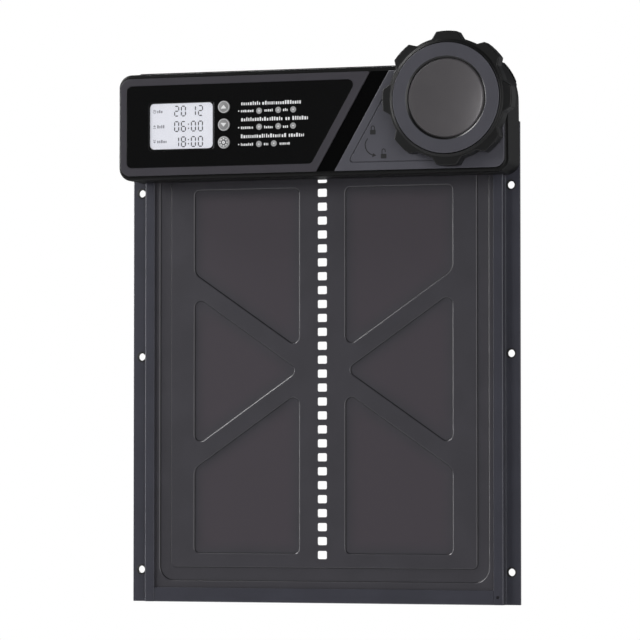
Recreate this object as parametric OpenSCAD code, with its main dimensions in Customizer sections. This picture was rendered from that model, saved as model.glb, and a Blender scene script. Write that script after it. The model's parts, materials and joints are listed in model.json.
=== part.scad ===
// Automatic coop door: a pressed aluminium guillotine door in a wall-mounted frame,
// lifted by a motor-driven sprocket that meshes with the row of square holes.
// X runs to the right, Z up, and the wall is the plane Y = 0 with the front at -Y.
// The origin is the centre of the four corner fixing holes on the wall plane.
// A "depth" is a distance in front of the wall, so depth d lies at Y = -d.

/* [Frame] */
// Overall width of frame and housing
frame_w = 293; // [293:1:293]
// Distance between left and right fixing holes
fixing_w = 280; // [276:1:281]
// Distance between top and bottom fixing holes
fixing_h = 274; // [268:1:274]
// Height of the middle fixing holes above the centre
fixing_mid_z = 17.65; // [0:0.05:30]
// Diameter of the fixing holes
fixing_d = 5.5; // [4:0.1:6]
// Bottom edge of the frame
frame_bottom = -160.1; // [-160.1:0.1:-160.1]
// Thickness of the rail flange on the wall
flange_t = 2; // [2:0.1:2]
// Thickness of the rail walls
rail_t = 1.5; // [1.5:0.1:1.5]
// Depth of the front of the rail channels
rail_front = 7.4; // [7.4:0.1:7.4]

/* [Door] */
// Thickness of the door sheet
sheet_t = 1.2; // [1:0.1:1.2]
// Depth of the pressed pockets and groove
press_d = 1; // [0.6:0.1:1]
// Pitch of the square drive holes
rack_pitch = 10; // [10:1:10]
// Number of square drive holes
rack_count = 34; // [33:1:34]
// Width of each drive hole
rack_hole_w = 7; // [6.6:0.1:7.4]
// Height of each drive hole
rack_hole_h = 5.8; // [5.8:0.1:6]
// Angle of the diagonal braces between the pockets
brace_angle = 34.6; // [30:0.1:36]

/* [Housing] */
// Bottom edge of the control housing
housing_bottom = 144.1; // [144.1:0.1:144.1]
// Height of the control housing
housing_h = 77; // [77:0.1:77]
// Depth of the front face of the housing shell
shell_front = 33.3; // [33.3:0.1:33.3]
// Wall thickness of the housing shell
wall = 2.5; // [2.5:0.1:2.5]
// Thickness of the two fascia plates
fascia_t = 1.5; // [1.5:0.1:1.5]

/* [Battery cap] */
// Sideways place of the battery cap
cap_x = 106; // [106:0.5:106]
// Height of the battery cap's centre
cap_z = 195.8; // [195.8:0.1:195.8]
// Radius of the battery cap between its lobes
cap_r = 43; // [43:0.5:43]
// Radius over the grip lobes
cap_lobe_r = 47.4; // [46:0.1:48]
// Number of grip lobes
cap_lobes = 8; // [4:1:10]
// Lead of the bayonet ramps for a full turn
cap_lead = 12; // [8:1:12]

/* [Drive] */
// Teeth of the drive sprocket
sprocket_teeth = 7; // [7:1:7]
// Module of the gear train
gear_m = 0.6; // [0.6:0.1:0.6]
// Teeth of each wheel in the gear train
wheel_teeth = 30; // [30:1:30]
// Teeth of each pinion in the gear train
pinion_teeth = 10; // [10:1:10]

/* [Hidden] */

$fn = 64;
half_w = frame_w / 2;
fix_x = fixing_w / 2;
fix_z = fixing_h / 2;

// Rails
web_x = 135.7;              // outer face of the channel's side wall
lip_x = 128.2;              // inner edge of the channel's front lip
leg_x = 121;                // inner edge of the channel's rear leg
rail_top = 182;
rivet_x = 124.5;
rivet_z = -154.7;
rivet_r = 1.6;
drain_x = 131.2;            // drain hole in the right rail's lip
drain_r = 1.1;
drain_exit_x = 129.3;       // wider hole behind it
drain_exit_r = 2.2;
sill_top = -149.8;
sill_half_w = 128.1;
sill_back_top = -151;

// Door
door_half_w = 133.6;
door_bottom = -158.5;
door_top = 216;
door_front = 5.6;
door_back = door_front - sheet_t;
press_wall = 0.8;           // how far the back of a pressing is wider than its front
edge_return = 2;            // depth of the folded edges' free end
rack_first = -125.7;        // lowest drive hole
rack_corner = 1;
groove_out = 124.6;
groove_in = 115.6;
groove_out_z = -144.9;
groove_in_z = -134.7;
groove_out_r = 10.8;
groove_in_r = 3.4;
pocket_in = 17.2;
pocket_out = 98;
pocket_top = 138.3;
pocket_bottom = -125;
pocket_mid = 6.85;
pocket_radii = [[5, 9, 4, 4], [5, 5, 5], [4, 4, 9, 5]];
brace_drop = 14.7;          // upright width of a diagonal brace
brace_slope = tan(brace_angle);

// Housing
housing_top = housing_bottom + housing_h;
housing_r = 9.5;
edge_r = 3;                 // bevel of the shell's front edge
shell_back = 2.2;
shell_in = shell_front - wall;
cavity_x = half_w - wall;
ledge_front = 14;
ledge_back = 10.8;
ledge_x = 133;
ledge_z0 = 151;
ledge_z1 = 213;
passage = 7.8;              // depth behind which the door and rails pass the shell
boss_r = half_w - cap_x - 0.2;
corner_r = boss_r - 0.3;    // round upper right corner behind the boss
boss_back = 9.1;
well_r = 37;
well_floor = 2;
collar_r = 38.9;
collar_front = 39.45;
chassis_front = 9.6;
chassis_back = 7.6;
chassis_x = 137.4;
chassis_z0 = 147;
chassis_z1 = 218.2;
gasket_w = 2;
gasket_x = 136.2;
gasket_z0 = 148.2;
gasket_z1 = 215.8;
window_x0 = -5.5;           // opening in the chassis plate for the sprocket
window_x1 = 16.5;
window_half_h = 12.5;
back_plate_t = 2;
strip_bottom = housing_top + 0.2;
strip_top = 224;
strip_front = 9;
strip_x = 143.5;            // half the width of the plate's upper part
slot_x = 134.6;
slot_front = 6.4;
slot_back = 1.3;
chassis_bosses = [[-129.5, 153.5], [-129.5, 210.5], [-40, 153.5], [-40, 210.5],
    [58, 153.4], [58, 210.5], [131, 153.5]];
boss_post_r = 3;
pilot_r = 1.1;
housing_posts = [165, 208];
housing_post_x = 141.2;
housing_post_r = 3.2;

// Fascia, label and controls
fascia_front = shell_front + fascia_t;
fascia_x = 144.4;
fascia_z0 = 147.4;
fascia_z1 = 217.8;
fascia_r = 7.5;
slant = tan(30);            // lean of the dark band and of the label's end
band_left = 5;
band_right = 18.9;
label_floor = fascia_front - 0.5;
label_front = fascia_front + 0.1;
label_x0 = -139.4;
label_x1 = 1.7;
label_z0 = 153.2;
label_z1 = 212.4;
label_r = 4;
label_gap = 0.15;
lcd = [-97.2, 182.6];
lcd_size = [49, 33.3];
lcd_gap = 0.5;
button_x = -64.4;
button_z = [195.5, 182.7, 170];     // up, down, set
button_r = 4.45;
button_hole_r = 4.6;
button_front = 36;
button_flange_r = 5.6;
button_flange = [29.8, 30.6];
plunger_r = 1.75;
plunger_bore_r = 1.82;
plunger = [26.6, 29.75];
switch_top = 27.9;
switch_w = 6;
board_front = 24.6;
board_back = 23;
board = [-125, 158, -52, 208];      // x0, z0, x1, z1
board_posts = [[-121.5, 161.5], [-55.5, 161.5], [-121.5, 204.5], [-55.5, 204.5]];
board_post_r = 2.6;

// Battery cap
cap_back = 36;
cap_front = 47.5;
cap_bore_r = 40.5;
cap_inner_r = 36.5;
cap_inner = 45;
bezel_r = 41.3;             // sloping rim round the ring
bezel_front = 49.1;
ring_seat = 46.8;
ring_front = 49.5;
ring_r = 38.9;
ring_gap = 0.3;
ring_bevel = 1.5;           // slope down to the dish
dish_seat = 46;
dish_r = 28;
dish_gap = 0.2;
dish_front = 49.1;
dish_sag = 2.4;
seal_in = 37.2;
seal_out = 38.7;
seal_gap = 0.05;
shoulder = collar_front + 1.7;
rib_sweep = 24;
rib_t = 1;
rib_r = 40.3;
rib_start = collar_front - rib_t - cap_lead * rib_sweep / 360;
lug_t = 1.2;
lug_r = 39.1;
lug_gap = 0.15;
bayonets = 4;
lobe_base_w = 21.5;
lobe_tip_w = 15;

// Battery compartment
cell_r = 7.25;
cell_len = 49.5;
nub_r = 2.7;
nub_len = 1;
cell_pitch = 14.7;
cell_depth = 21.8;          // depth of the lower layer of cells
holder_x = 29;
holder_z = 15.6;
holder_t = 1.3;
holder_back = ledge_back + well_floor + 0.1;
holder_front = 41.5;
contact_t = 0.5;
wire_r = 0.8;
wire_hole_r = 2.4;
wire_depth = [16.2, 18.4];
wire_slot = 1.1;            // room round each wire in the slot through the battery boss

// Drive train: three parallel axles along X
sprocket_r = sprocket_teeth * rack_pitch / (2 * PI);
sprocket_z = rack_first + 31 * rack_pitch;
sprocket_depth = (door_front + door_back) / 2 + sprocket_r;
gear_centres = gear_m * (wheel_teeth + pinion_teeth) / 2 + 0.05;
idler_depth = 20;
idler_z = sprocket_z - sqrt(pow(gear_centres, 2) - pow(idler_depth - sprocket_depth, 2));
motor_depth = idler_depth + 0.3;
motor_z = idler_z - sqrt(pow(gear_centres, 2) - pow(motor_depth - idler_depth, 2));
to_idler = atan2(idler_z - sprocket_z, sprocket_depth - idler_depth);
to_motor = atan2(motor_z - idler_z, idler_depth - motor_depth);
shaft_r = 1.5;
idler_r = 1;
run_gap = 0.06;             // running clearance of each bore
backlash = 0.05;            // each tooth flank is cut back by this much
plate_t = 2;
plate_left = -9;
plate_right = 20.5;
plate_back = 9.8;
plate_front = 30.4;
plate_z0 = 151.3;
plate_z1 = 203;
gearbox_post_r = 2.4;
gearbox_post_at = [[12.4, 200], [27.8, 200], [12.4, 153.9], [27.8, 153.9]];
foot_depth = 12.6;
foot_t = 2;
foot_w = 7;
feet_z = [176.5, 196];
foot_boss_r = 3;
bush_r = 3;
bush_flange_r = 4.2;
motor_r = 10.2;
motor_flat = 7.7;
motor_x0 = plate_right + plate_t + 0.1;
motor_x1 = 45;
motor_wall = 1;
rotor_r = 6;
motor_shaft_r = 1;

// ---------- helpers ----------

function unit(v) = v / norm(v);

function half_angle(a, b, c) = acos(unit(a - b) * unit(c - b)) / 2;

// Points of the arc that rounds corner b of the path a, b, c
function corner(a, b, c, r, n) =
    r <= 0 ? [b] :
    let (half = half_angle(a, b, c),
         mid = b + unit(unit(a - b) + unit(c - b)) * r / sin(half),
         p = b + unit(a - b) * r / tan(half) - mid,
         q = b + unit(c - b) * r / tan(half) - mid,
         start = atan2(p.y, p.x),
         sweep = (atan2(q.y, q.x) - start + 540) % 360 - 180)
    [for (i = [0:n]) mid + r * [cos(start + sweep * i / n), sin(start + sweep * i / n)]];

// A polygon with each corner rounded; r is one radius or a list of them
function rounded(points, r, n = 6) =
    let (k = len(points))
    [for (i = [0:k - 1])
        each corner(points[(i + k - 1) % k], points[i], points[(i + 1) % k], is_list(r) ? r[i] : r, n)];

// A convex polygon with every side moved outwards by d
function grown(points, d) =
    let (k = len(points))
    [for (i = [0:k - 1])
        let (a = points[(i + k - 1) % k], b = points[i], c = points[(i + 1) % k])
        b - unit(unit(a - b) + unit(c - b)) * d / sin(half_angle(a, b, c))];

function box_points(x0, z0, x1, z1) = [[x0, z0], [x1, z0], [x1, z1], [x0, z1]];

// Extrudes an X-Z outline between two depths
module slab(back, front) {
    translate([0, -back, 0]) rotate([90, 0, 0]) linear_extrude(front - back) children();
}

// Extrudes a Y-Z outline between two X positions
module across(x0, x1) {
    translate([x0, 0, 0]) rotate([90, 0, 90]) linear_extrude(x1 - x0) children();
}

module box(x0, x1, back, front, z0, z1) {
    translate([x0, -front, z0]) cube([x1 - x0, front - back, z1 - z0]);
}

// A round bar along Y at x, z
module post(x, z, r, back, front) {
    translate([x, -back, z]) rotate([90, 0, 0]) cylinder(r = r, h = front - back);
}

// A round bar along X
module axle(x0, x1, depth, z, r) {
    translate([x0, -depth, z]) rotate([0, 90, 0]) cylinder(r = r, h = x1 - x0);
}

module at_cap() {
    translate([cap_x, 0, cap_z]) children();
}

module mirrored() {
    children();
    mirror([1, 0, 0]) children();
}

// A countersunk screw along Y whose head is at the back
module back_screw(x, z, r, head_r, back, length) {
    post(x, z, r, back + 1, back + length);
    translate([x, -back, z]) rotate([90, 0, 0]) cylinder(r1 = head_r, r2 = r, h = head_r - r);
}

module back_screw_hole(x, z, r, head_r, back) {
    post(x, z, r, back - 1, back + 4);
    translate([x, -back, z]) rotate([90, 0, 0]) cylinder(r1 = head_r + 0.05, r2 = r, h = head_r - r + 0.05);
    post(x, z, head_r + 0.05, back - 1, back);
}

// Wires follow straight runs between points given as x, depth, z
module wire(points, r) {
    for (i = [0:len(points) - 1])
        translate([points[i].x, -points[i].y, points[i].z]) sphere(r = r, $fn = 24);
    for (i = [0:len(points) - 2])
        let (d = points[i + 1] - points[i])
        translate([points[i].x, -points[i].y, points[i].z])
            rotate([0, acos(d.z / norm(d)), atan2(-d.y, d.x)])
            cylinder(r = r, h = norm(d), $fn = 24);
}

// ---------- gears ----------

function involute(angle) = tan(angle) * 180 / PI - angle;

// Half the angle that a tooth takes up at radius r
function tooth_half(n, m, thin, r) =
    let (pitch = n * m / 2, base = pitch * cos(20), at = max(r, base))
    90 / n - thin / pitch * 180 / PI + involute(20) - involute(acos(base / at));

function gear_points(n, m, root, tip, thin) =
    let (steps = 4, base = max(root, n * m / 2 * cos(20)))
    [for (i = [0:n - 1], side = [-1, 1])
        let (rise = [for (k = [0:steps]) base + (tip - base) * k / steps],
             path = concat([root], rise))
        for (k = [0:len(path) - 1])
            let (r = path[side < 0 ? k : len(path) - 1 - k],
                 a = i * 360 / n + side * tooth_half(n, m, thin, r))
            [r * cos(a), r * sin(a)]];

// A spur gear whose first tooth points along the given direction in the Y-Z plane
module spur(x0, x1, n, direction, tip_factor) {
    pitch = n * gear_m / 2;
    across(x0, x1)
        rotate(direction)
        polygon(gear_points(n, gear_m, pitch - 1.25 * gear_m, pitch + tip_factor * gear_m, backlash));
}

module wheel(x0, x1, direction) {
    spur(x0, x1, wheel_teeth, direction, 0.65);
}

// A pinion with a gap along the given direction
module pinion(x0, x1, direction) {
    spur(x0, x1, pinion_teeth, direction + 180 / pinion_teeth, 1);
}

// ---------- frame ----------

module rail_section() {
    polygon([[leg_x, 0], [half_w, 0], [half_w, -flange_t], [web_x, -flange_t],
        [web_x, -rail_front], [lip_x, -rail_front], [lip_x, rail_t - rail_front],
        [web_x - rail_t, rail_t - rail_front], [web_x - rail_t, -rail_t], [leg_x, -rail_t]]);
}

module rail() {
    difference() {
        translate([0, 0, frame_bottom]) linear_extrude(rail_top - frame_bottom) rail_section();
        for (z = [-fix_z, fixing_mid_z, fix_z])
            post(fix_x, z, fixing_d / 2, -1, flange_t + 1);
        post(rivet_x, rivet_z, rivet_r, -1, rail_t + 1);
        back_screw_hole(housing_post_x, housing_posts[0], 1.6, 2.8, 0);
    }
}

module left_rail() {
    color("dimgray") mirror([1, 0, 0]) rail();
}

module right_rail() {
    color("dimgray") difference() {
        rail();
        post(drain_x, rivet_z, drain_r, rail_front - rail_t - 1, rail_front + 1);
        post(drain_exit_x, rivet_z, drain_exit_r, -1, rail_t + 1);
    }
}

module sill() {
    color("dimgray") difference() {
        union() {
            box(-sill_half_w, sill_half_w, rail_front - rail_t, rail_front, frame_bottom, sill_top);
            box(-sill_half_w, sill_half_w, rail_t + 0.05, rail_front, frame_bottom, frame_bottom + rail_t);
            box(-sill_half_w, sill_half_w, rail_t + 0.05, 2 * rail_t, frame_bottom, sill_back_top);
        }
        mirrored() post(rivet_x, rivet_z, rivet_r, 0, 2 * rail_t + 0.5);
    }
}

module sill_rivets() {
    color("silver") mirrored() {
        post(rivet_x, rivet_z, rivet_r, 0, 2 * rail_t + 0.05);
        post(rivet_x, rivet_z, 2.6, 2 * rail_t + 0.05, 2 * rail_t + 0.7);
    }
}

// ---------- door ----------

// The three pockets of the right half: upper, middle and lower, parted by diagonal braces
function pocket_outlines() =
    let (rise = brace_slope * (pocket_out - pocket_in),
         above = pocket_mid + brace_drop, below = pocket_mid - brace_drop)
    [[[pocket_in, above], [pocket_out, above + rise], [pocket_out, pocket_top], [pocket_in, pocket_top]],
     [[pocket_in, pocket_mid], [pocket_out, pocket_mid - rise], [pocket_out, pocket_mid + rise]],
     [[pocket_in, pocket_bottom], [pocket_out, pocket_bottom], [pocket_out, below - rise],
         [pocket_in, below]]];

module pockets(extra) {
    outlines = pocket_outlines();
    for (i = [0:2])
        mirrored() polygon(rounded(grown(outlines[i], extra), [for (r = pocket_radii[i]) r + extra]));
}

module groove(extra) {
    difference() {
        polygon(rounded(box_points(-groove_out - extra, groove_out_z - extra, groove_out + extra, door_top),
            [groove_out_r + extra, groove_out_r + extra, 0, 0]));
        polygon(rounded(box_points(-groove_in + extra, groove_in_z + extra, groove_in - extra, door_top + 1),
            [groove_in_r, groove_in_r, 0, 0]));
    }
}

module door_panel() {
    color("dimgray") difference() {
        union() {
            box(-door_half_w, door_half_w, door_back, door_front, door_bottom, door_top);
            slab(door_back - press_d, door_back + 0.2) pockets(press_wall);
            slab(door_back - press_d, door_back + 0.2) groove(press_wall);
            mirrored() box(door_half_w - sheet_t, door_half_w, edge_return, door_front, door_bottom, door_top);
        }
        slab(door_front - press_d, door_front + 1) pockets(0);
        slab(door_front - press_d, door_front + 1) groove(0);
        for (i = [0:rack_count - 1])
            translate([0, 0, rack_first + i * rack_pitch])
                slab(0, door_front + 1)
                polygon(rounded(box_points(-rack_hole_w / 2, -rack_hole_h / 2,
                    rack_hole_w / 2, rack_hole_h / 2), rack_corner, 3));
    }
}

// ---------- housing ----------

// The upper right corner is an arc about the battery cap
module housing_outline(inset) {
    last = asin((housing_top - cap_z) / corner_r);
    arc = [for (i = [0:5])
        let (a = last * (i + 1) / 6)
        [cap_x + corner_r * cos(a), cap_z + corner_r * sin(a)]];
    points = concat([[-half_w, housing_top], [-half_w, housing_bottom], [half_w, housing_bottom]], arc);
    radii = concat([housing_r, housing_r, housing_r], [for (p = arc) inset]);
    polygon(rounded(grown(points, -inset), [for (r = radii) r - inset]));
}

module shell_block() {
    hull() {
        slab(shell_back, shell_front - edge_r) housing_outline(0);
        slab(shell_back, shell_front) housing_outline(edge_r);
    }
    at_cap() {
        post(0, 0, boss_r, boss_back, shell_front - 1);
        translate([0, 1 - shell_front, 0]) rotate([90, 0, 0]) cylinder(r1 = boss_r, r2 = boss_r - 1, h = 1);
    }
}

module helix_rib(inner, outer, thick, start_depth, start_angle, sweep) {
    n = 8;
    rings = [for (i = [0:n])
        let (a = start_angle + sweep * i / n,
             d = start_depth + cap_lead * sweep * i / n / 360)
        each [for (p = [[inner, d], [outer, d], [outer, d + thick], [inner, d + thick]])
            [p.x * cos(a), -p.y, p.x * sin(a)]]];
    polyhedron(points = rings, faces = concat(
        [[3, 2, 1, 0]],
        [for (i = [0:n - 1], k = [0:3])
            let (a = 4 * i + k, b = 4 * i + (k + 1) % 4) [a, b, b + 4, a + 4]],
        [[4 * n, 4 * n + 1, 4 * n + 2, 4 * n + 3]]));
}

module front_housing() {
    color("#121214") difference() {
        union() {
            difference() {
                shell_block();
                slab(shell_back - 1, ledge_back) housing_outline(wall);
                slab(ledge_back - 1, ledge_front + 1)
                    polygon(box_points(-ledge_x, ledge_z0, ledge_x, ledge_z1));
                slab(ledge_front, shell_in) housing_outline(wall);
                box(-web_x - 0.5, web_x + 0.5, 0, passage, housing_bottom - 1, housing_bottom + wall + 1);
                box(-strip_x + 2, slot_x + 0.5, 0, passage, housing_top - wall - 1, housing_top + 1);
            }
            at_cap() post(0, 0, boss_r, ledge_back, shell_front - 1);
            at_cap() post(0, 0, collar_r, shell_front - 1.5, collar_front);
            for (p = chassis_bosses) post(p.x, p.y, boss_post_r, chassis_front + 0.05, shell_in + 1);
            for (p = board_posts) post(p.x, p.y, board_post_r, board_front + 0.05, shell_in + 1);
            mirrored() for (z = housing_posts) post(housing_post_x, z, housing_post_r, shell_back, 18);
            at_cap() for (i = [0:bayonets - 1])
                helix_rib(collar_r - 0.5, rib_r, rib_t, rib_start, 45 + i * 360 / bayonets, rib_sweep);
        }
        at_cap() post(0, 0, well_r, ledge_back + well_floor, collar_front + 1);
        for (p = chassis_bosses) post(p.x, p.y, pilot_r, chassis_front, 18);
        for (p = board_posts) post(p.x, p.y, pilot_r - 0.2, board_front, 29);
        mirrored() for (z = housing_posts) post(housing_post_x, z, 1.3, 0, ledge_back + well_floor - 0.2);
        for (z = button_z) post(button_x, z, button_hole_r, shell_in - 1, shell_front + 1);
        slab(shell_in - 1, shell_front + 1)
            translate(lcd) square(lcd_size + [2, 2] * lcd_gap, center = true);
        box(cap_x - boss_r - 2, cap_x - well_r + 2, wire_depth[0] - wire_slot, wire_depth[1] + wire_slot,
            cap_z - wire_slot, cap_z + wire_slot);
    }
}

// Takes away what lies outside the round upper right corner
module inside_boss_corner() {
    difference() {
        children();
        difference() {
            polygon(box_points(cap_x, cap_z, half_w + 1, strip_top + 1));
            translate([cap_x, cap_z]) circle(boss_r + 0.1);
        }
    }
}

module back_plate() {
    color("#161618") difference() {
        union() {
            slab(0, back_plate_t) inside_boss_corner() union() {
                polygon(box_points(-leg_x, housing_bottom, leg_x, rail_top + 1));
                polygon(box_points(-strip_x, rail_top + 0.3, strip_x, strip_bottom + 1));
            }
            slab(0, strip_front) inside_boss_corner()
                polygon([[-strip_x, strip_bottom], [strip_x, strip_bottom], [strip_x, strip_top],
                    [-strip_x + 5.5, strip_top], [-strip_x, strip_top - 2.2]]);
        }
        // the rails' rear legs lie beside the lower part of the plate
        mirrored() box(leg_x - 0.2, web_x, -1, back_plate_t + 1, housing_bottom - 1, rail_top + 0.3);
        box(-slot_x, slot_x, slot_back, slot_front, strip_bottom - 5, strip_top + 1);
        mirrored() back_screw_hole(housing_post_x, housing_posts[1], 1.6, 2.8, 0);
    }
}

module chassis_plate() {
    color("#2a2a2c") difference() {
        union() {
            slab(chassis_back, chassis_front) intersection() {
                polygon(rounded(box_points(-chassis_x, chassis_z0, chassis_x, chassis_z1), 3));
                housing_outline(wall + 0.4);
            }
            for (x = foot_xs(), z = feet_z) post(x, z, foot_boss_r, chassis_front - 0.5, foot_depth);
        }
        for (p = chassis_bosses) back_screw_hole(p.x, p.y, 1.3, 2.2, chassis_back);
        for (x = foot_xs(), z = feet_z) post(x, z, 0.9, chassis_back + 1, foot_depth + 1);
        box(window_x0, window_x1, 0, 20, sprocket_z - window_half_h, sprocket_z + window_half_h);
    }
}

module housing_gasket() {
    color("#303030") slab(chassis_front, ledge_back) difference() {
        intersection() {
            polygon(box_points(-gasket_x, gasket_z0, gasket_x, gasket_z1));
            housing_outline(wall + 0.4);
        }
        polygon(box_points(-gasket_x + gasket_w, gasket_z0 + gasket_w,
            gasket_x - gasket_w, gasket_z1 - gasket_w));
    }
}

// ---------- fascia and controls ----------

module label_outline(extra) {
    polygon(rounded([[label_x0 - extra, label_z0 - extra], [label_x1 + extra, label_z0 - extra],
        [label_x1 + extra + slant * (label_z1 - label_z0), label_z1 + extra],
        [label_x0 - extra, label_z1 + extra]], label_r));
}

module control_holes(back, front, gap) {
    for (z = button_z) post(button_x, z, button_hole_r, back, front);
    slab(back, front) translate(lcd) square(lcd_size + [2, 2] * gap, center = true);
}

module left_fascia() {
    color("#3c3c40") difference() {
        slab(shell_front, fascia_front)
            polygon(rounded([[-fascia_x, fascia_z0], [band_left, fascia_z0],
                [band_left + slant * (fascia_z1 - fascia_z0), fascia_z1], [-fascia_x, fascia_z1]],
                [fascia_r, 1, 1, fascia_r]));
        slab(label_floor, fascia_front + 1) label_outline(label_gap);
        control_holes(shell_front - 1, fascia_front + 1, lcd_gap);
    }
}

module right_fascia() {
    color("#4a4a4e") difference() {
        slab(shell_front, fascia_front)
            polygon(rounded([[band_right, fascia_z0], [fascia_x, fascia_z0], [fascia_x, cap_z],
                [cap_x, fascia_z1], [band_right + slant * (fascia_z1 - fascia_z0), fascia_z1]],
                [1, fascia_r, 0, 0, 1]));
        at_cap() post(0, 0, boss_r + 0.2, shell_front - 1, fascia_front + 1);
    }
}

module control_label() {
    color("#0a0a0c") difference() {
        slab(label_floor, label_front) label_outline(0);
        control_holes(label_floor - 1, label_front + 1, lcd_gap);
    }
}

module lcd_window() {
    color("lightgray", 0.4) slab(label_floor, label_front)
        translate(lcd) square(lcd_size + [2, 2] * (lcd_gap - 0.1), center = true);
}

module lcd_display() {
    color("#d8d8e4") slab(31.4, label_floor - 0.1) translate(lcd) square(lcd_size, center = true);
}

module lcd_backlight() {
    color("white") slab(board_front + 0.05, 31.35)
        translate(lcd) square(lcd_size - [2, 2], center = true);
}

module button(z) {
    color("darkgray") {
        post(button_x, z, button_r, button_flange[1] - 0.1, button_front);
        post(button_x, z, button_flange_r, button_flange[0], button_flange[1]);
    }
}

module button_up() { button(button_z[0]); }
module button_down() { button(button_z[1]); }
module button_set() { button(button_z[2]); }

module switch_plunger(z) {
    color("#202020") post(button_x, z, plunger_r, plunger[0], plunger[1]);
}

module switch_plunger_up() { switch_plunger(button_z[0]); }
module switch_plunger_down() { switch_plunger(button_z[1]); }
module switch_plunger_set() { switch_plunger(button_z[2]); }

module switch_bodies() {
    color("#303030") for (z = button_z) difference() {
        box(button_x - switch_w / 2, button_x + switch_w / 2, board_front + 0.05, switch_top,
            z - switch_w / 2, z + switch_w / 2);
        post(button_x, z, plunger_bore_r, board_front + 0.6, switch_top + 1);
    }
}

module circuit_board() {
    color("darkgreen") difference() {
        slab(board_back, board_front)
            polygon(rounded(box_points(board[0], board[1], board[2], board[3]), 2));
        for (p = board_posts) post(p.x, p.y, 1.2, board_back - 1, board_front + 1);
    }
}

module board_components() {
    color("#181818") {
        box(-112, -98, board_back - 2, board_back - 0.05, 176, 190);
        box(-86, -76, board_back - 1.6, board_back - 0.05, 180, 186);
        post(-70, 168, 3.2, board_back - 8, board_back - 0.05);
        post(-82, 168, 3.2, board_back - 8, board_back - 0.05);
    }
}

// ---------- battery cap and cells ----------

module lobe_outline() {
    polygon([[-lobe_base_w / 2 - 1, cap_r - 3], [-lobe_base_w / 2, cap_r - 1],
        [-lobe_tip_w / 2, cap_lobe_r - 0.8], [-lobe_tip_w / 2 + 1.4, cap_lobe_r],
        [lobe_tip_w / 2 - 1.4, cap_lobe_r], [lobe_tip_w / 2, cap_lobe_r - 0.8],
        [lobe_base_w / 2, cap_r - 1], [lobe_base_w / 2 + 1, cap_r - 3]]);
}

module battery_cap() {
    color("#151517") at_cap() {
        difference() {
            union() {
                slab(cap_back, cap_front) union() {
                    circle(cap_r);
                    for (i = [0:cap_lobes - 1]) rotate(i * 360 / cap_lobes) lobe_outline();
                }
                translate([0, -cap_front, 0]) rotate([90, 0, 0])
                    cylinder(r1 = bezel_r, r2 = bezel_r - bezel_front + cap_front, h = bezel_front - cap_front);
            }
            post(0, 0, cap_bore_r, cap_back - 1, shoulder);
            post(0, 0, cap_inner_r, cap_back - 1, cap_inner);
            post(0, 0, ring_r + ring_gap, ring_seat, bezel_front + 1);
            post(0, 0, dish_r + dish_gap, dish_seat, ring_seat + 1);
        }
        for (i = [0:bayonets - 1])
            helix_rib(lug_r, cap_bore_r + 0.5, lug_t, rib_start - lug_gap - lug_t + cap_lead * 2 / 360,
                45 + 2 + i * 360 / bayonets, rib_sweep - 4);
    }
}

module cap_ring() {
    hole_r = dish_r + dish_gap;
    color("#48484c") at_cap() difference() {
        post(0, 0, ring_r, ring_seat, ring_front);
        post(0, 0, hole_r, ring_seat - 1, ring_front);
        translate([0, ring_bevel - ring_front, 0]) rotate([90, 0, 0])
            cylinder(r1 = hole_r, r2 = hole_r + ring_bevel + 0.5, h = ring_bevel + 0.5);
    }
}

module cap_dish() {
    rim = dish_front - dish_seat;
    crest_r = dish_r - 1.1;
    color("#48484c") at_cap() translate([0, -dish_seat, 0]) rotate([90, 0, 0])
        rotate_extrude() polygon(concat([[0, 0], [dish_r, 0], [dish_r, rim - 1.1]],
            [for (i = [8:-1:0]) [crest_r * i / 8, rim - dish_sag * (1 - pow(i / 8, 2))]]));
}

module cap_seal() {
    color("#a03020") at_cap() difference() {
        post(0, 0, seal_out, collar_front + seal_gap, shoulder - seal_gap);
        post(0, 0, seal_in, collar_front - 1, shoulder + 1);
    }
}

module battery_holder() {
    color("#1c1c1e") at_cap() {
        box(-holder_x, holder_x, holder_back, holder_back + holder_t, -holder_z, holder_z);
        mirrored() box(holder_x - holder_t, holder_x, holder_back, holder_front, -holder_z, holder_z);
    }
}

module battery_cells() {
    color("royalblue") at_cap()
        for (row = [0, 1], layer = [0, 1])
            mirror([(row + layer) % 2, 0, 0])
            translate([-(cell_len + nub_len) / 2, 0, (row - 0.5) * cell_pitch]) {
                axle(0, cell_len, cell_depth + layer * cell_pitch, 0, cell_r);
                axle(cell_len - 0.1, cell_len + nub_len, cell_depth + layer * cell_pitch, 0, nub_r);
            }
}

module battery_contacts() {
    reach = (cell_len + nub_len) / 2;
    color("silver") at_cap() mirrored() {
        box(holder_x - holder_t - contact_t, holder_x - holder_t,
            holder_back + holder_t + 1, holder_front, -holder_z + 2, holder_z - 2);
        for (row = [0, 1], layer = [0, 1])
            axle(reach + 0.02, holder_x - holder_t - contact_t + 0.1,
                cell_depth + layer * cell_pitch, (row - 0.5) * cell_pitch, 2.4);
    }
}

module battery_wires() {
    color("firebrick") for (d = wire_depth)
        wire([[cap_x - holder_x - 0.9, d, cap_z], [60, d, cap_z], [60, d, 206],
            [-48, d, 206], [-48, d, 200], [-51, d, 200]], wire_r);
}

// ---------- motor ----------

module motor_section(shrink) {
    intersection() {
        circle(motor_r - shrink);
        square([2 * (motor_flat - shrink), 2 * motor_r], center = true);
    }
}

module at_motor() {
    translate([0, -motor_depth, motor_z]) children();
}

module motor_can() {
    color("silver") at_motor() difference() {
        across(motor_x0, motor_x1) motor_section(0);
        across(motor_x0 + motor_wall, motor_x1 + 1) motor_section(motor_wall);
        axle(motor_x0 - 1, motor_x0 + 2, 0, 0, motor_shaft_r + run_gap);
        for (s = [-1, 1]) axle(motor_x0 - 1, motor_x0 + 2, 0, s * 6, 0.8);
    }
}

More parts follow.
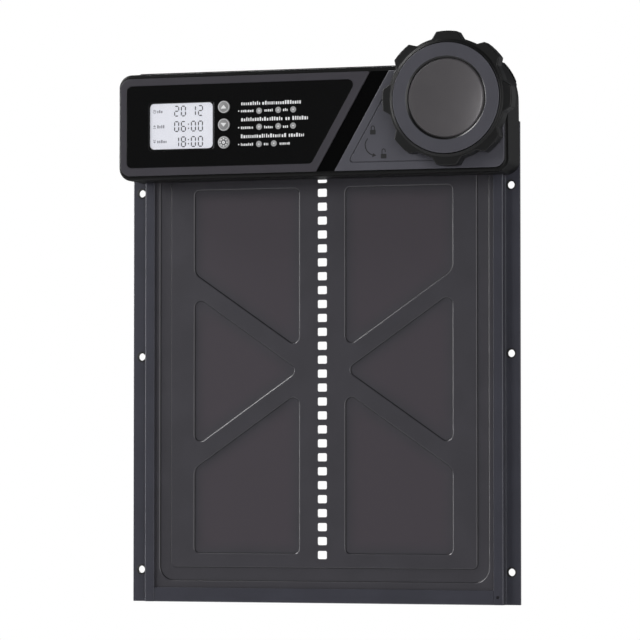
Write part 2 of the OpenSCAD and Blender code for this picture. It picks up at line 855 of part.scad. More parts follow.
module motor_endcap() {
    color("#202022") at_motor() difference() {
        union() {
            across(motor_x1 + 0.02, motor_x1 + 3) motor_section(0);
            across(motor_x1 - 2, motor_x1 + 1) motor_section(motor_wall + 0.05);
        }
        across(motor_x1 - 3, motor_x1 + 0.5) motor_section(motor_wall + 1.5);
        axle(motor_x1 - 3, motor_x1 + 2, 0, 0, motor_shaft_r + run_gap);
    }
}

module motor_magnets() {
    color("#404044") at_motor() across(motor_x0 + 4, motor_x1 - 4) difference() {
        motor_section(motor_wall + 0.05);
        circle(rotor_r + 0.6);
        square([5, 30], center = true);
        square([30, 5], center = true);
    }
}

module motor_rotor() {
    color("goldenrod") at_motor() {
        axle(motor_x0 + 5, motor_x1 - 5, 0, 0, rotor_r);
        axle(16, motor_x1 + 1.5, 0, 0, motor_shaft_r);
    }
}

module motor_pinion() {
    color("khaki") difference() {
        at_motor() pinion(16, 19.2, to_motor + 180);
        axle(15, 20, motor_depth, motor_z, motor_shaft_r);
    }
}

module motor_wires() {
    color("black") for (s = [-1, 1])
        wire([[motor_x1 + 4, motor_depth + 3 * s, motor_z + 5], [52, motor_depth + 3 * s, motor_z + 5],
            [52, motor_depth + 3 * s, 148.2], [-46, motor_depth + 3 * s, 148.2],
            [-46, motor_depth + 3 * s, 166], [-50, motor_depth + 3 * s, 166]], wire_r);
}

// ---------- gear train ----------

module at_sprocket() {
    translate([0, -sprocket_depth, sprocket_z]) children();
}

module at_idler() {
    translate([0, -idler_depth, idler_z]) children();
}

// Turns about the idler axle at the speed of the wheel that the motor drives
module first_gear() {
    color("ivory") difference() {
        at_idler() {
            pinion(12.4, 16.4, to_idler + 180);
            wheel(16.3, 18.9, to_motor);
        }
        axle(12, 19.5, idler_depth, idler_z, idler_r + run_gap);
    }
}

// Turns freely on the sprocket shaft
module second_gear() {
    color("ivory") difference() {
        at_sprocket() {
            pinion(8.9, 13, to_idler);
            wheel(12.8, 15.2, to_idler);
        }
        axle(8, 16, sprocket_depth, sprocket_z, shaft_r + run_gap);
    }
}

// Turns about the idler axle and drives the sprocket's wheel
module third_gear() {
    color("ivory") difference() {
        at_idler() {
            pinion(4.6, 9.2, to_idler + 180);
            wheel(9.1, 11.8, to_idler + 180);
        }
        axle(4, 12.2, idler_depth, idler_z, idler_r + run_gap);
    }
}

module sprocket_tooth() {
    root = sprocket_r - 2.6;
    tip = sprocket_r + 2.1;
    polygon([[root - 2, -2.6], [root, -2.3], [sprocket_r, -1.85], [sprocket_r + 1.2, -1.4],
        [tip, -0.7], [tip, 0.7], [sprocket_r + 1.2, 1.4], [sprocket_r, 1.85], [root, 2.3], [root - 2, 2.6]]);
}

module drive_sprocket() {
    color("gainsboro") difference() {
        union() {
            at_sprocket() {
                across(-2.5, 2.5) union() {
                    circle(sprocket_r - 2.6);
                    for (i = [0:sprocket_teeth - 1]) rotate(i * 360 / sprocket_teeth) sprocket_tooth();
                }
                wheel(5, 8, to_idler);
            }
            axle(-6.2, 8.2, sprocket_depth, sprocket_z, 4.2);
        }
        axle(-8, 10, sprocket_depth, sprocket_z, shaft_r);
    }
}

module sprocket_shaft() {
    color("silver") axle(plate_left - 1, plate_right + plate_t + 0.05, sprocket_depth, sprocket_z, shaft_r);
}

// A stud in the right plate, which ends before it reaches the sprocket's teeth
module idler_shaft() {
    color("silver") axle(3.4, plate_right + plate_t, idler_depth, idler_z, idler_r);
}

module sprocket_bushes() {
    color("peru") difference() {
        union() {
            axle(plate_left, plate_left + plate_t, sprocket_depth, sprocket_z, bush_r);
            axle(plate_left + plate_t, plate_left + plate_t + 0.7, sprocket_depth, sprocket_z, bush_flange_r);
            axle(plate_right, plate_right + plate_t, sprocket_depth, sprocket_z, bush_r);
            axle(plate_right - 0.7, plate_right, sprocket_depth, sprocket_z, bush_flange_r);
        }
        axle(plate_left - 1, plate_right + 5, sprocket_depth, sprocket_z, shaft_r + run_gap);
    }
}

function foot_xs() = [plate_left - foot_w / 2, plate_right + plate_t + foot_w / 2];

module gearbox_plate(x0, foot_x) {
    color("#58585c") difference() {
        union() {
            box(x0, x0 + plate_t, plate_back, plate_front, plate_z0, plate_z1);
            for (z = feet_z)
                box(min(x0, foot_x - foot_w / 2), max(x0 + plate_t, foot_x + foot_w / 2),
                    foot_depth + 0.05, foot_depth + foot_t, z - foot_w / 2, z + foot_w / 2);
        }
        axle(x0 - 1, x0 + 3, sprocket_depth, sprocket_z, bush_r);
        for (p = gearbox_post_at) axle(x0 - 1, x0 + 3, p.x, p.y, 1.2);
        for (z = feet_z) post(foot_x, z, 1.3, 0, foot_depth + 5);
    }
}

module gearbox_plate_left() {
    gearbox_plate(plate_left, foot_xs()[0]);
}

module gearbox_plate_right() {
    difference() {
        gearbox_plate(plate_right, foot_xs()[1]);
        axle(plate_right - 1, plate_right + 3, idler_depth, idler_z, idler_r);
        axle(plate_right - 1, plate_right + 3, motor_depth, motor_z, 4.2);
        for (s = [-1, 1]) axle(plate_right - 1, plate_right + 3, motor_depth, motor_z + s * 6, 1.1);
    }
}

module gearbox_posts() {
    color("silver") for (p = gearbox_post_at) {
        axle(plate_left + plate_t, plate_right, p.x, p.y, gearbox_post_r);
        axle(plate_left, plate_right + plate_t, p.x, p.y, 1.15);
    }
}

// ---------- fasteners ----------

module housing_screws() {
    color("silver") mirrored() for (z = housing_posts)
        back_screw(housing_post_x, z, 1.25, 2.7, 0.05, 12);
}

module chassis_screws() {
    color("silver") for (p = chassis_bosses)
        back_screw(p.x, p.y, 1.05, 2.1, chassis_back + 0.05, 9);
}

module board_screws() {
    color("silver") for (p = board_posts) {
        post(p.x, p.y, 0.85, board_back - 0.5, 28.5);
        post(p.x, p.y, 1.9, board_back - 1.4, board_back - 0.02);
    }
}

module gearbox_screws() {
    color("silver") for (x = foot_xs(), z = feet_z) {
        post(x, z, 0.85, chassis_back + 1.5, foot_depth + foot_t + 0.3);
        post(x, z, 1.9, foot_depth + foot_t + 0.02, foot_depth + foot_t + 1.4);
    }
}

module motor_screws() {
    color("silver") for (s = [-1, 1]) {
        axle(plate_right - 0.3, motor_x0 + 0.9, motor_depth, motor_z + 6 * s, 0.75);
        axle(plate_right - 1.2, plate_right - 0.02, motor_depth, motor_z + 6 * s, 1.6);
    }
}

left_rail();
right_rail();
sill();
sill_rivets();
door_panel();
front_housing();
back_plate();
chassis_plate();
housing_gasket();
left_fascia();
right_fascia();
control_label();
lcd_window();
lcd_display();
lcd_backlight();
button_up();
button_down();
button_set();
switch_plunger_up();
switch_plunger_down();
switch_plunger_set();
switch_bodies();
circuit_board();
board_components();
battery_cap();
cap_ring();
cap_dish();
cap_seal();
battery_holder();
battery_cells();
battery_contacts();
battery_wires();
motor_can();
motor_endcap();
motor_magnets();
motor_rotor();
motor_pinion();
motor_wires();
first_gear();
second_gear();
third_gear();
drive_sprocket();
sprocket_shaft();
idler_shaft();
sprocket_bushes();
gearbox_plate_left();
gearbox_plate_right();
gearbox_posts();
housing_screws();
chassis_screws();
board_screws();
gearbox_screws();
motor_screws();
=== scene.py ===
"""Looks of the automatic coop door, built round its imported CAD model.

Lengths here are millimetres until a mesh is made. A depth is a distance in front of the wall,
so depth d lies at y = -d. X runs to the right and Z up, as in the CAD model.
"""

import json
import random
from math import acos, asin, atan2, cos, hypot, pi, radians, sin, tan

import bmesh
import bpy
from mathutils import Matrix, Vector
from mathutils.geometry import tessellate_polygon

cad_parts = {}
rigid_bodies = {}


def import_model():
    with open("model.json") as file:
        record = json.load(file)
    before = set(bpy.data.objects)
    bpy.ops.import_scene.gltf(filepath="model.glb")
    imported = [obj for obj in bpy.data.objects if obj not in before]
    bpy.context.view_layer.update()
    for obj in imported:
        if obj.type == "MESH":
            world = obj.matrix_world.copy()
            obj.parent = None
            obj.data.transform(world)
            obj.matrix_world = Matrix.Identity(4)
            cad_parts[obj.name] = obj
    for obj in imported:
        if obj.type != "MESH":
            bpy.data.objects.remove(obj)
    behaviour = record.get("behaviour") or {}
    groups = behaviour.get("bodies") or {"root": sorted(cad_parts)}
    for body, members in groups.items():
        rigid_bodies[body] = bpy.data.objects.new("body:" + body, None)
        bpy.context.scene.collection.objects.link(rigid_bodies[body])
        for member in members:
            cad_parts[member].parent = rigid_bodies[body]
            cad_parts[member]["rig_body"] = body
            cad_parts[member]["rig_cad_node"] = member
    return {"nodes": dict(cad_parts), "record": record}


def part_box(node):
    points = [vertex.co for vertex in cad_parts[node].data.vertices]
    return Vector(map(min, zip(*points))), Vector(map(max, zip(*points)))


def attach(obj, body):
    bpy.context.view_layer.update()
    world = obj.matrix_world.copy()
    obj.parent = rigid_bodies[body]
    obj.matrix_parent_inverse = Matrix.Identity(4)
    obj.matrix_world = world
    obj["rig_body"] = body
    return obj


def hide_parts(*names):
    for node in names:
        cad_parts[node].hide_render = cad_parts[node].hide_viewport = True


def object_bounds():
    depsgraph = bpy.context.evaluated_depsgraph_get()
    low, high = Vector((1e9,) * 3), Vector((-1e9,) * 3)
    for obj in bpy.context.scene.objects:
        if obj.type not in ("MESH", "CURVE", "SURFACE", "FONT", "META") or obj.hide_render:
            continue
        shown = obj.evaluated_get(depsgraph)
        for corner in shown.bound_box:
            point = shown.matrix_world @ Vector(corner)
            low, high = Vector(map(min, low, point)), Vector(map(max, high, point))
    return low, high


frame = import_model()
cad_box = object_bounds()
MM = 0.001


def extent(node):
    """A CAD node's box as (x0, x1, back, front, z0, z1)."""
    low, high = (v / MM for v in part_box(node))
    return low.x, high.x, -high.y, -low.y, low.z, high.z


def middle(node):
    """The middle of a CAD node's box, seen from the front, as (x, z)."""
    x0, x1, _, _, z0, z1 = extent(node)
    return (x0 + x1) / 2, (z0 + z1) / 2


# ---------- outlines ----------


def outline(corners, radii=0.0, inset=0.0, steps=6):
    """An anticlockwise polygon moved inwards by inset, with its corners rounded."""
    n = len(corners)
    radii = list(radii) if hasattr(radii, "__len__") else [radii] * n
    points = []
    for i, (x, z) in enumerate(corners):
        u = (Vector((x, z)) - Vector(corners[i - 1])).normalized()
        v = (Vector(corners[(i + 1) % n]) - Vector((x, z))).normalized()
        turn = atan2(u.x * v.y - u.y * v.x, u.dot(v))
        inward = Vector((-u.y - v.y, u.x + v.x)) / (1 + u.dot(v))
        corner = Vector((x, z)) + inward * inset
        if not radii[i]:
            points.append((corner.x, corner.y))
            continue
        side = 1 if turn > 0 else -1
        r = max(radii[i] - side * inset, 0.02)
        start = corner - u * r * tan(abs(turn) / 2)
        centre = start + Vector((-u.y, u.x)) * r * side
        arm = start - centre
        for k in range(steps + 1):
            a = turn * k / steps
            points.append((centre.x + arm.x * cos(a) - arm.y * sin(a),
                           centre.y + arm.x * sin(a) + arm.y * cos(a)))
    return points


def rectangle(x0, z0, x1, z1):
    return [(x0, z0), (x1, z0), (x1, z1), (x0, z1)]


def circle(x, z, r, steps=64):
    return [(x + r * cos(2 * pi * k / steps), z + r * sin(2 * pi * k / steps))
            for k in range(steps)]


def disc(x, z, r, steps=64):
    """A round hole or rim as a function of how far it is moved inwards."""
    return lambda inset: circle(x, z, r - inset, steps)


def cornered(corners, radii, steps=6):
    """A rounded polygon as a function of how far it is moved inwards."""
    return lambda inset: outline(corners, radii, inset, steps)


def rounding(edge, steps=4):
    """(inset, drop) pairs of a quarter round, from the side up to the face."""
    turns = [pi / 2 * k / steps for k in range(steps + 1)]
    return [(edge * (1 - cos(a)), edge * (1 - sin(a))) for a in turns]


def channel(path, half):
    """The closed outline of a narrow channel along a path, with pointed ends."""
    left, right = [], []
    for i, p in enumerate(path):
        before, after = path[max(i - 1, 0)], path[min(i + 1, len(path) - 1)]
        d = Vector((after[0] - before[0], after[1] - before[1])).normalized()
        left.append((p[0] - d.y * half, p[1] + d.x * half))
        right.append((p[0] + d.y * half, p[1] - d.x * half))
    return right + left[::-1]


# ---------- meshes ----------


def new_object(name, data):
    obj = bpy.data.objects.new(name, data)
    bpy.context.scene.collection.objects.link(obj)
    return obj


class Shape:
    """Points as (x, depth, z) in millimetres and the faces between them."""

    def __init__(self):
        self.points, self.faces, self.painted_light_tints = [], [], []

    def add(self, points, tint=0.0):
        start = len(self.points)
        self.points += points
        self.painted_light_tints += [tint] * len(points)
        return list(range(start, len(self.points)))

    def ring(self, flat, depth, tint=0.0):
        return self.add([(x, depth, z) for x, z in flat], tint)

    def bridge(self, a, b, closed=True):
        for i in range(len(a) if closed else len(a) - 1):
            j = (i + 1) % len(a)
            self.faces.append((a[i], a[j], b[j], b[i]))

    def stack(self, rings, closed=True):
        for a, b in zip(rings, rings[1:]):
            self.bridge(a, b, closed)

    def cap(self, rings, axes=(0, 2)):
        """Fills the first ring, with the other rings as holes in it."""
        flat = [i for ring in rings for i in ring]
        loops = [[Vector((self.points[i][axes[0]], self.points[i][axes[1]], 0)) for i in ring]
                 for ring in rings]
        self.faces += [tuple(flat[i] for i in face) for face in tessellate_polygon(loops)]

    def plate(self, outer, holes, back, front, edge=0.4, rear=0.15, pockets=()):
        """A plate with rounded edges. A pocket is (outline, floor depth, holes through its floor)."""
        def rings(outline_at, sign):
            levels = [(rear, back), (0, back + rear)] + [(i, front - d) for i, d in rounding(edge)]
            return [self.ring(outline_at(sign * i), d) for i, d in levels]

        out = rings(outer, 1)
        inner = [rings(hole, -1) for hole in holes]
        for each in [out, *inner]:
            self.stack(each)
        backs, fronts = [r[0] for r in inner], [r[-1] for r in inner]
        lip = edge / 2
        for outline_at, floor, through in pockets:
            walls = [self.ring(outline_at(-i), front - d) for i, d in reversed(rounding(lip))]
            walls.append(self.ring(outline_at(0), floor))
            self.stack(walls)
            fronts.append(walls[0])
            tubes = [[self.ring(hole(0), floor), self.ring(hole(0), back)] for hole in through]
            for tube in tubes:
                self.stack(tube)
            self.cap([walls[-1]] + [tube[0] for tube in tubes])
            backs += [tube[1] for tube in tubes]
        self.cap([out[0]] + backs)
        self.cap([out[-1]] + fronts)

    def lathe(self, x, z, profile, steps=96):
        """Turns a closed or axis-to-axis line of (radius, depth) points round a line along Y."""
        rings = []
        for r, depth in profile:
            rings.append(self.add([(x, depth, z)]) if r < 1e-6
                         else self.ring(circle(x, z, r, steps), depth))
        on_axis = profile[0][0] < 1e-6 or profile[-1][0] < 1e-6
        for a, b in zip(rings, rings[1:] if on_axis else rings[1:] + rings[:1]):
            if len(a) == 1 or len(b) == 1:
                pole, rim = (a, b) if len(a) == 1 else (b, a)
                self.faces += [(pole[0], rim[i], rim[(i + 1) % steps]) for i in range(steps)]
            else:
                self.bridge(a, b)

    def sweep(self, section, z0, z1, edge=0.25):
        """Extrudes a section of (x, depth) points, as a function of inset, along Z."""
        levels = [(edge, z0), (0, z0 + edge), (0, z1 - edge), (edge, z1)]
        rings = [self.add([(x, d, z) for x, d in section(i)]) for i, z in levels]
        self.stack(rings)
        self.cap([rings[0]], (0, 1))
        self.cap([rings[-1]], (0, 1))

    def object(self, name):
        mesh = bpy.data.meshes.new(name)
        mesh.from_pydata([(x * MM, -d * MM, z * MM) for x, d, z in self.points], [], self.faces)
        # the tint attribute holds painted light and shade: a reflection on the door's pocket floors, shade
        # in its creases and on the cap ring's bevel
        if any(self.painted_light_tints):
            layer = mesh.attributes.new("tint", "FLOAT", "POINT")
            layer.data.foreach_set("value", self.painted_light_tints)
        bm = bmesh.new()
        bm.from_mesh(mesh)
        bmesh.ops.remove_doubles(bm, verts=bm.verts, dist=1e-6)
        bmesh.ops.dissolve_degenerate(bm, edges=bm.edges, dist=1e-7)
        bmesh.ops.recalc_face_normals(bm, faces=bm.faces)
        bm.to_mesh(mesh)
        bm.free()
        return new_object(name, mesh)


def applied(obj):
    """Replaces an object's mesh with what its modifiers make of it."""
    depsgraph = bpy.context.evaluated_depsgraph_get()
    made = bpy.data.meshes.new_from_object(obj.evaluated_get(depsgraph))
    obj.modifiers.clear()
    obj.data = made


def combine(base, tool, operation):
    """Joins a tool to a base, or cuts it out, and removes the tool."""
    change = base.modifiers.new("combine", "BOOLEAN")
    change.object, change.operation, change.solver = tool, operation, "EXACT"
    applied(base)
    bpy.data.objects.remove(tool)


def cut(base, *tools):
    for tool in tools:
        combine(base, tool, "DIFFERENCE")


def smooth(obj, angle=35):
    """Shades rounded edges smoothly while flat faces stay flat."""
    obj.data.polygons.foreach_set("use_smooth", [True] * len(obj.data.polygons))
    obj.data.set_sharp_from_angle(angle=radians(angle))
    even = obj.modifiers.new("even_normals", "WEIGHTED_NORMAL")
    even.keep_sharp = True


def place(obj, body, finish, replaces=(), angle=35):
    """Finishes a piece: shading, material, body and the CAD nodes it stands for."""
    obj.data.materials.clear()
    obj.data.materials.append(finish)
    smooth(obj, angle)
    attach(obj, body)
    if replaces:
        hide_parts(*replaces)


def refined(node, width, body, finish):
    """A copy of a CAD node whose sharp edges are softly bevelled."""
    obj = frame["nodes"][node].copy()
    obj.data = obj.data.copy()
    obj.parent = None
    obj.name = node + "_soft"
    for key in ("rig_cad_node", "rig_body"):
        obj.pop(key, None)
    bpy.context.scene.collection.objects.link(obj)
    bm = bmesh.new()
    bm.from_mesh(obj.data)
    bmesh.ops.remove_doubles(bm, verts=bm.verts, dist=1e-6)
    bmesh.ops.dissolve_limit(bm, angle_limit=0.002, verts=bm.verts, edges=bm.edges)
    bm.to_mesh(obj.data)
    bm.free()
    bevel = obj.modifiers.new("bevel", "BEVEL")
    bevel.width, bevel.segments, bevel.limit_method = width * MM, 2, "ANGLE"
    bevel.angle_limit = radians(40)
    applied(obj)
    place(obj, body, finish, [node])


# ---------- materials ----------


def fill(node, values):
    """Sets a node's inputs by name."""
    for key, value in values.items():
        node.inputs[key].default_value = value


class Nodes:
    """A material's node tree, with short calls for the nodes used here."""

    def __init__(self, name):
        self.material = bpy.data.materials.new(name)
        self.material.use_nodes = True
        self.tree = self.material.node_tree
        self.shader = self.tree.nodes["Principled BSDF"]
        self.place = self.new("TexCoord").outputs["Object"]

    def new(self, kind):
        return self.tree.nodes.new("ShaderNode" + kind)

    def link(self, source, target):
        self.tree.links.new(source, target)

    def noise(self, scale, detail=2.0):
        node = self.new("TexNoise")
        fill(node, {"Scale": scale, "Detail": detail})
        self.link(self.place, node.inputs["Vector"])
        return node.outputs["Fac"]

    def spread(self, source, low=0.0, high=1.0):
        """Maps a noise's middle range to low..high."""
        node = self.new("MapRange")
        fill(node, {"From Min": 0.35, "From Max": 0.65, "To Min": low, "To Max": high})
        self.link(source, node.inputs["Value"])
        return node.outputs["Result"]

    def arithmetic(self, operation, source, *numbers):
        """A math node on a socket and one or two numbers."""
        node = self.new("Math")
        node.operation = operation
        self.link(source, node.inputs[0])
        for socket, number in zip(node.inputs[1:], numbers):
            socket.default_value = number
        return node.outputs[0]

    def bump(self, height, strength, distance):
        node = self.new("Bump")
        fill(node, {"Strength": strength, "Distance": distance * MM})
        self.link(height, node.inputs["Height"])
        self.link(node.outputs["Normal"], self.shader.inputs["Normal"])


def colour_mix(nodes, factor, a, b):
    """Mixes two colours, each a tuple or a socket, by a number or a socket."""
    node = nodes.new("Mix")
    node.data_type = "RGBA"
    for value, socket in ((factor, node.inputs[0]), (a, node.inputs[6]), (b, node.inputs[7])):
        if isinstance(value, bpy.types.NodeSocket):
            nodes.link(value, socket)
        elif isinstance(value, (int, float)):
            socket.default_value = value
        else:
            socket.default_value = (*value, 1)
    return node.outputs[2]


def grey(level, tint=(1.0, 1.0, 1.0)):
    """A linear colour from an sRGB level of 0 to 255, with a tint."""
    c = level / 255
    c = c / 12.92 if c <= 0.04045 else ((c + 0.055) / 1.055) ** 2.4
    return tuple(c * t for t in tint)


def finish(name, colour, rough, metallic=0.0, vary=0.08, grain=0.05, grain_size=0.3, specular=0.5,
           coat=0.0, painted_light_colour=None):
    """A procedural finish: slow colour drift, fine roughness variation and a fine grain bump.

    Where a mesh has a tint, 1 gives the second colour, which the door uses as a painted reflection on its
    pocket floors and the cap ring as painted shade on its bevel, and -1 a crease of painted shade.
    """
    nodes = Nodes(name)
    shader = nodes.shader
    low = tuple(c * (1 - vary) for c in colour)
    high = tuple(c * (1 + vary) for c in colour)
    base = colour_mix(nodes, nodes.spread(nodes.noise(40)), low, high)
    if painted_light_colour:
        tint = nodes.new("Attribute")
        tint.attribute_name = "tint"
        base = colour_mix(nodes, tint.outputs["Fac"], base, painted_light_colour)
        # painted shade: a negative tint darkens the colour to 15 per cent in creases
        crease = nodes.arithmetic("MULTIPLY", tint.outputs["Fac"], -1.0)
        base = colour_mix(nodes, crease, base, tuple(c * 0.15 for c in colour))
    nodes.link(base, shader.inputs["Base Color"])
    fine = nodes.noise(1000 / grain_size, 3.0)
    nodes.link(nodes.spread(fine, rough * 0.9, rough * 1.1), shader.inputs["Roughness"])
    fill(shader, {"Metallic": metallic, "Specular IOR Level": specular})
    fill(shader, {"Coat Weight": coat, "Coat Roughness": 0.2})
    if grain:
        nodes.bump(fine, grain, 0.05)
    return nodes.material


COOL = (0.98, 0.97, 1.15)  # tint of the satin plastic
# the door's warmer, lighter second colour is a painted reflection towards the middle of each pocket floor,
# and its crease colour is painted shade
DOOR_METAL = finish("satin_dark_door", grey(63, (1.0, 0.95, 1.12)), 0.42, 0.25, 0.06, 0.12, 0.25, coat=0.5,
                    painted_light_colour=grey(69, (1.03, 0.87, 1.04)))
METAL = finish("satin_dark_rail", grey(60, (0.95, 0.96, 1.28)), 0.42, 0.25, 0.06, 0.12, 0.25, coat=0.5)
SHELL = finish("moulded_black_plastic", grey(9), 0.42, 0, 0.05, 0.15, 0.35, 0.2)
SATIN = finish("satin_fascia", grey(84, COOL), 0.36, 0.1, 0.04, 0.1, 0.3)
DARK_SATIN = finish("dark_satin_fascia", grey(62, (1.0, 0.93, 1.12)), 0.36, 0.1, 0.04, 0.1, 0.3)
GLOSS = finish("gloss_label", grey(10), 0.16, 0, 0.03, 0.02, 0.6, 0.35)
GLOSS_BLACK = finish("gloss_band", grey(4), 0.14, 0, 0.03, 0.02, 0.6, 0.2)
GRIP = finish("cap_black", grey(13), 0.4, 0, 0.05, 0.15, 0.3, 0.4)
# its near-black second colour is painted shade on the bevel down to the dish
RING_SATIN = finish("cap_satin_ring", grey(86, COOL), 0.34, 0.3, 0.04, 0.1, 0.25, coat=0.4, painted_light_colour=grey(8))
DISH_SATIN = finish("cap_satin_face", grey(92, (1.04, 0.98, 1.02)), 0.32, 0.3, 0.04, 0.1, 0.25)
BUTTON_RIM = finish("button_rim", grey(205), 0.35, 0.2, 0.03, 0.05, 0.2)
BUTTON_GREY = finish("button_grey", grey(150), 0.4, 0.2, 0.04, 0.1, 0.2)
INK_WHITE = finish("white_print", grey(235), 0.5, 0, 0.02, 0.03, 0.2)
INK_GREY = finish("grey_print", grey(158), 0.45, 0, 0.03, 0.03, 0.2)
# dark print for the lock icons; the same colour is painted shade in the fixing holes
DARK_PRINT_AND_HOLE_SHADE = finish("dark_print_and_hole_shade", grey(26), 0.45, 0, 0.03, 0.03, 0.2)
SEGMENT = finish("lcd_segment", grey(72, (0.95, 0.95, 1.1)), 0.5, 0, 0.03, 0.0, 0.2)
SEGMENT_PALE = finish("lcd_faint_segment", grey(160, (0.97, 0.97, 1.06)), 0.5, 0, 0.03, 0.0, 0.2)


def display_finish():
    """The pale reflector of the display, with a weak painted glow, though it is no lamp, that brightens it.
    """
    nodes = Nodes("lcd_reflector")
    tint = (0.98, 0.99, 1.03)
    base = colour_mix(nodes, nodes.spread(nodes.noise(4000)), grey(214, tint), grey(222, tint))
    nodes.link(base, nodes.shader.inputs["Base Color"])
    nodes.link(base, nodes.shader.inputs["Emission Color"])
    fill(nodes.shader, {"Roughness": 0.6, "Emission Strength": 0.52})
    return nodes.material


def window_finish():
    """Clear plastic: what lies behind shows through it, under a slight gloss."""
    nodes = Nodes("clear_window")
    clear = nodes.new("BsdfTransparent")
    clear.inputs["Color"].default_value = (0.96, 0.96, 0.97, 1)
    gloss = nodes.new("BsdfGlossy")
    nodes.link(nodes.spread(nodes.noise(300), 0.04, 0.08), gloss.inputs["Roughness"])
    slant = nodes.new("LayerWeight")  # the same on both faces of the pane
    slant.inputs["Blend"].default_value = 0.5
    rise = nodes.arithmetic("POWER", slant.outputs["Facing"], 5.0)
    both = nodes.new("MixShader")
    nodes.link(nodes.arithmetic("MULTIPLY_ADD", rise, 0.9, 0.03), both.inputs[0])
    nodes.link(clear.outputs[0], both.inputs[1])
    nodes.link(gloss.outputs[0], both.inputs[2])
    nodes.link(both.outputs[0], nodes.tree.nodes["Material Output"].inputs["Surface"])
    nodes.tree.nodes.remove(nodes.shader)
    return nodes.material


LCD = display_finish()
WINDOW = window_finish()

# Finishes of the CAD nodes that stay as they are, by material slot
SLOT_FINISHES = {
    "diffuser": finish("white_diffuser", grey(225), 0.5, 0, 0.02, 0.05, 0.4),
    "seal": finish("red_silicone", (0.38, 0.06, 0.03), 0.55, 0, 0.05, 0.1, 0.4),
    "gasket": finish("foam_gasket", grey(48), 0.9, 0, 0.15, 0.5, 0.5),
    "board": finish("circuit_board_green", (0.01, 0.09, 0.035), 0.4, 0, 0.1, 0.1, 0.8),
    "black_part": finish("black_part", grey(34), 0.5, 0, 0.08, 0.15, 0.3),
    "cell": finish("cell_wrap", (0.03, 0.09, 0.35), 0.3, 0, 0.05, 0.02, 0.5),
    "nylon": finish("white_nylon", grey(225, (1.0, 0.98, 0.92)), 0.45, 0, 0.04, 0.08, 0.4),
    "steel": finish("bright_steel", grey(180), 0.28, 1.0, 0.04, 0.08, 0.2),
    "bronze": finish("sintered_bronze", (0.42, 0.25, 0.1), 0.4, 1.0, 0.08, 0.25, 0.2),
    "copper": finish("copper", (0.6, 0.25, 0.12), 0.3, 1.0, 0.06, 0.1, 0.2),
    "magnet": finish("ferrite", grey(50), 0.5, 0.3, 0.08, 0.2, 0.3),
    "red_wire": finish("red_wire", (0.45, 0.02, 0.015), 0.4, 0, 0.04, 0.05, 0.3),
    "black_wire": finish("black_wire", grey(26), 0.4, 0, 0.04, 0.05, 0.3),
    "chassis": finish("chassis_plastic", grey(48), 0.5, 0, 0.06, 0.2, 0.35),
    "gear_frame": finish("gear_frame_plastic", grey(60), 0.5, 0, 0.06, 0.2, 0.35),
    "rail": METAL, "door": DOOR_METAL, "shell": SHELL, "fascia": SATIN, "gloss_label": GLOSS,
    "clear_window": WINDOW, "lcd": LCD, "button": BUTTON_GREY, "cap": GRIP, "cap_face": DISH_SATIN,
}
for part in frame["record"]["subparts"]:
    node = frame["nodes"][part["node"]]
    node.data.materials.clear()
    node.data.materials.append(SLOT_FINISHES[part["material_slot"]])
    smooth(node)

# ---------- door ----------

PRESS = 1.0  # depth of the pressed pockets and groove
SHEET = 1.2  # thickness of the door's sheet
SPREAD = 0.8  # how far the back of a pressing is wider than its front
# (inset, drop, tint) down the wall of a pressing and over its floor; a negative tint is painted shade that
# darkens the crease at the wall's foot, and the floor's rising tint is a painted reflection, lighter and
# warmer towards the middle
WALL = [(-0.4, 0.0, 0.0), (-0.3, 0.03, 0.0), (-0.18, 0.1, 0.0), (0.25, 0.4, -0.3), (0.38, 0.62, -1.0),
        (0.58, 0.93, -1.0), (0.8, 1.0, 0.0)]
FLOOR = [(3.0, 1.03, 0.25), (6.0, 1.07, 0.65), (10.0, 1.1, 1.0)]
RACK_RIM = [(0.3, 0.0), (0.12, 0.05), (0.0, 0.22)]
RACK_BOTTOM, RACK_PITCH, RACK_COUNT = -125.7, 10, 34
RACK_HALF_W, RACK_HALF_H, RACK_R = 3.5, 2.9, 1.0
GROOVE_OUT = (124.6, -144.9, 10.8)  # half width, bottom and corner radius of the groove's outer side
GROOVE_IN = (115.6, -134.7, 3.4)  # and of its inner side
SIDE = 132.2  # where the front face turns into the folded edge
FOLD_R = 1.4
SLOPE = tan(radians(34.6))  # of the diagonal braces
POCKET_IN, POCKET_OUT, POCKET_TOP, POCKET_BOTTOM, POCKET_MID = 17.2, 98.0, 138.3, -125.0, 6.85
POCKET_RADII = [[5, 9, 4, 4], [5, 5, 5], [4, 4, 9, 5]]
BRACE = 14.7  # upright width of a diagonal brace
RISE = SLOPE * (POCKET_OUT - POCKET_IN)
_, DOOR_EDGE, DOOR_BACK, DOOR_FRONT, DOOR_BOTTOM, DOOR_TOP = extent("door_panel")


def pocket_outlines():
    """The corners and corner radii of the three right-hand pockets and their mirror images."""
    above, below = POCKET_MID + BRACE, POCKET_MID - BRACE
    right = [
        [(POCKET_IN, above), (POCKET_OUT, above + RISE), (POCKET_OUT, POCKET_TOP), (POCKET_IN, POCKET_TOP)],
        [(POCKET_IN, POCKET_MID), (POCKET_OUT, POCKET_MID - RISE), (POCKET_OUT, POCKET_MID + RISE)],
        [(POCKET_IN, POCKET_BOTTOM), (POCKET_OUT, POCKET_BOTTOM), (POCKET_OUT, below - RISE),
         (POCKET_IN, below)],
    ]
    both = list(zip(right, POCKET_RADII))
    return both + [([(-x, z) for x, z in reversed(corners)], radii[::-1]) for corners, radii in both]


def groove_path(half, low, r, steps=10):
    """Down the left side, along the bottom and up the right side of the U-shaped groove."""
    left = [(-half, DOOR_TOP)]
    left += [(-half + r - r * cos(a), low + r - r * sin(a))
             for a in (pi / 2 * k / steps for k in range(steps + 1))]
    return left + [(-x, z) for x, z in reversed(left)]


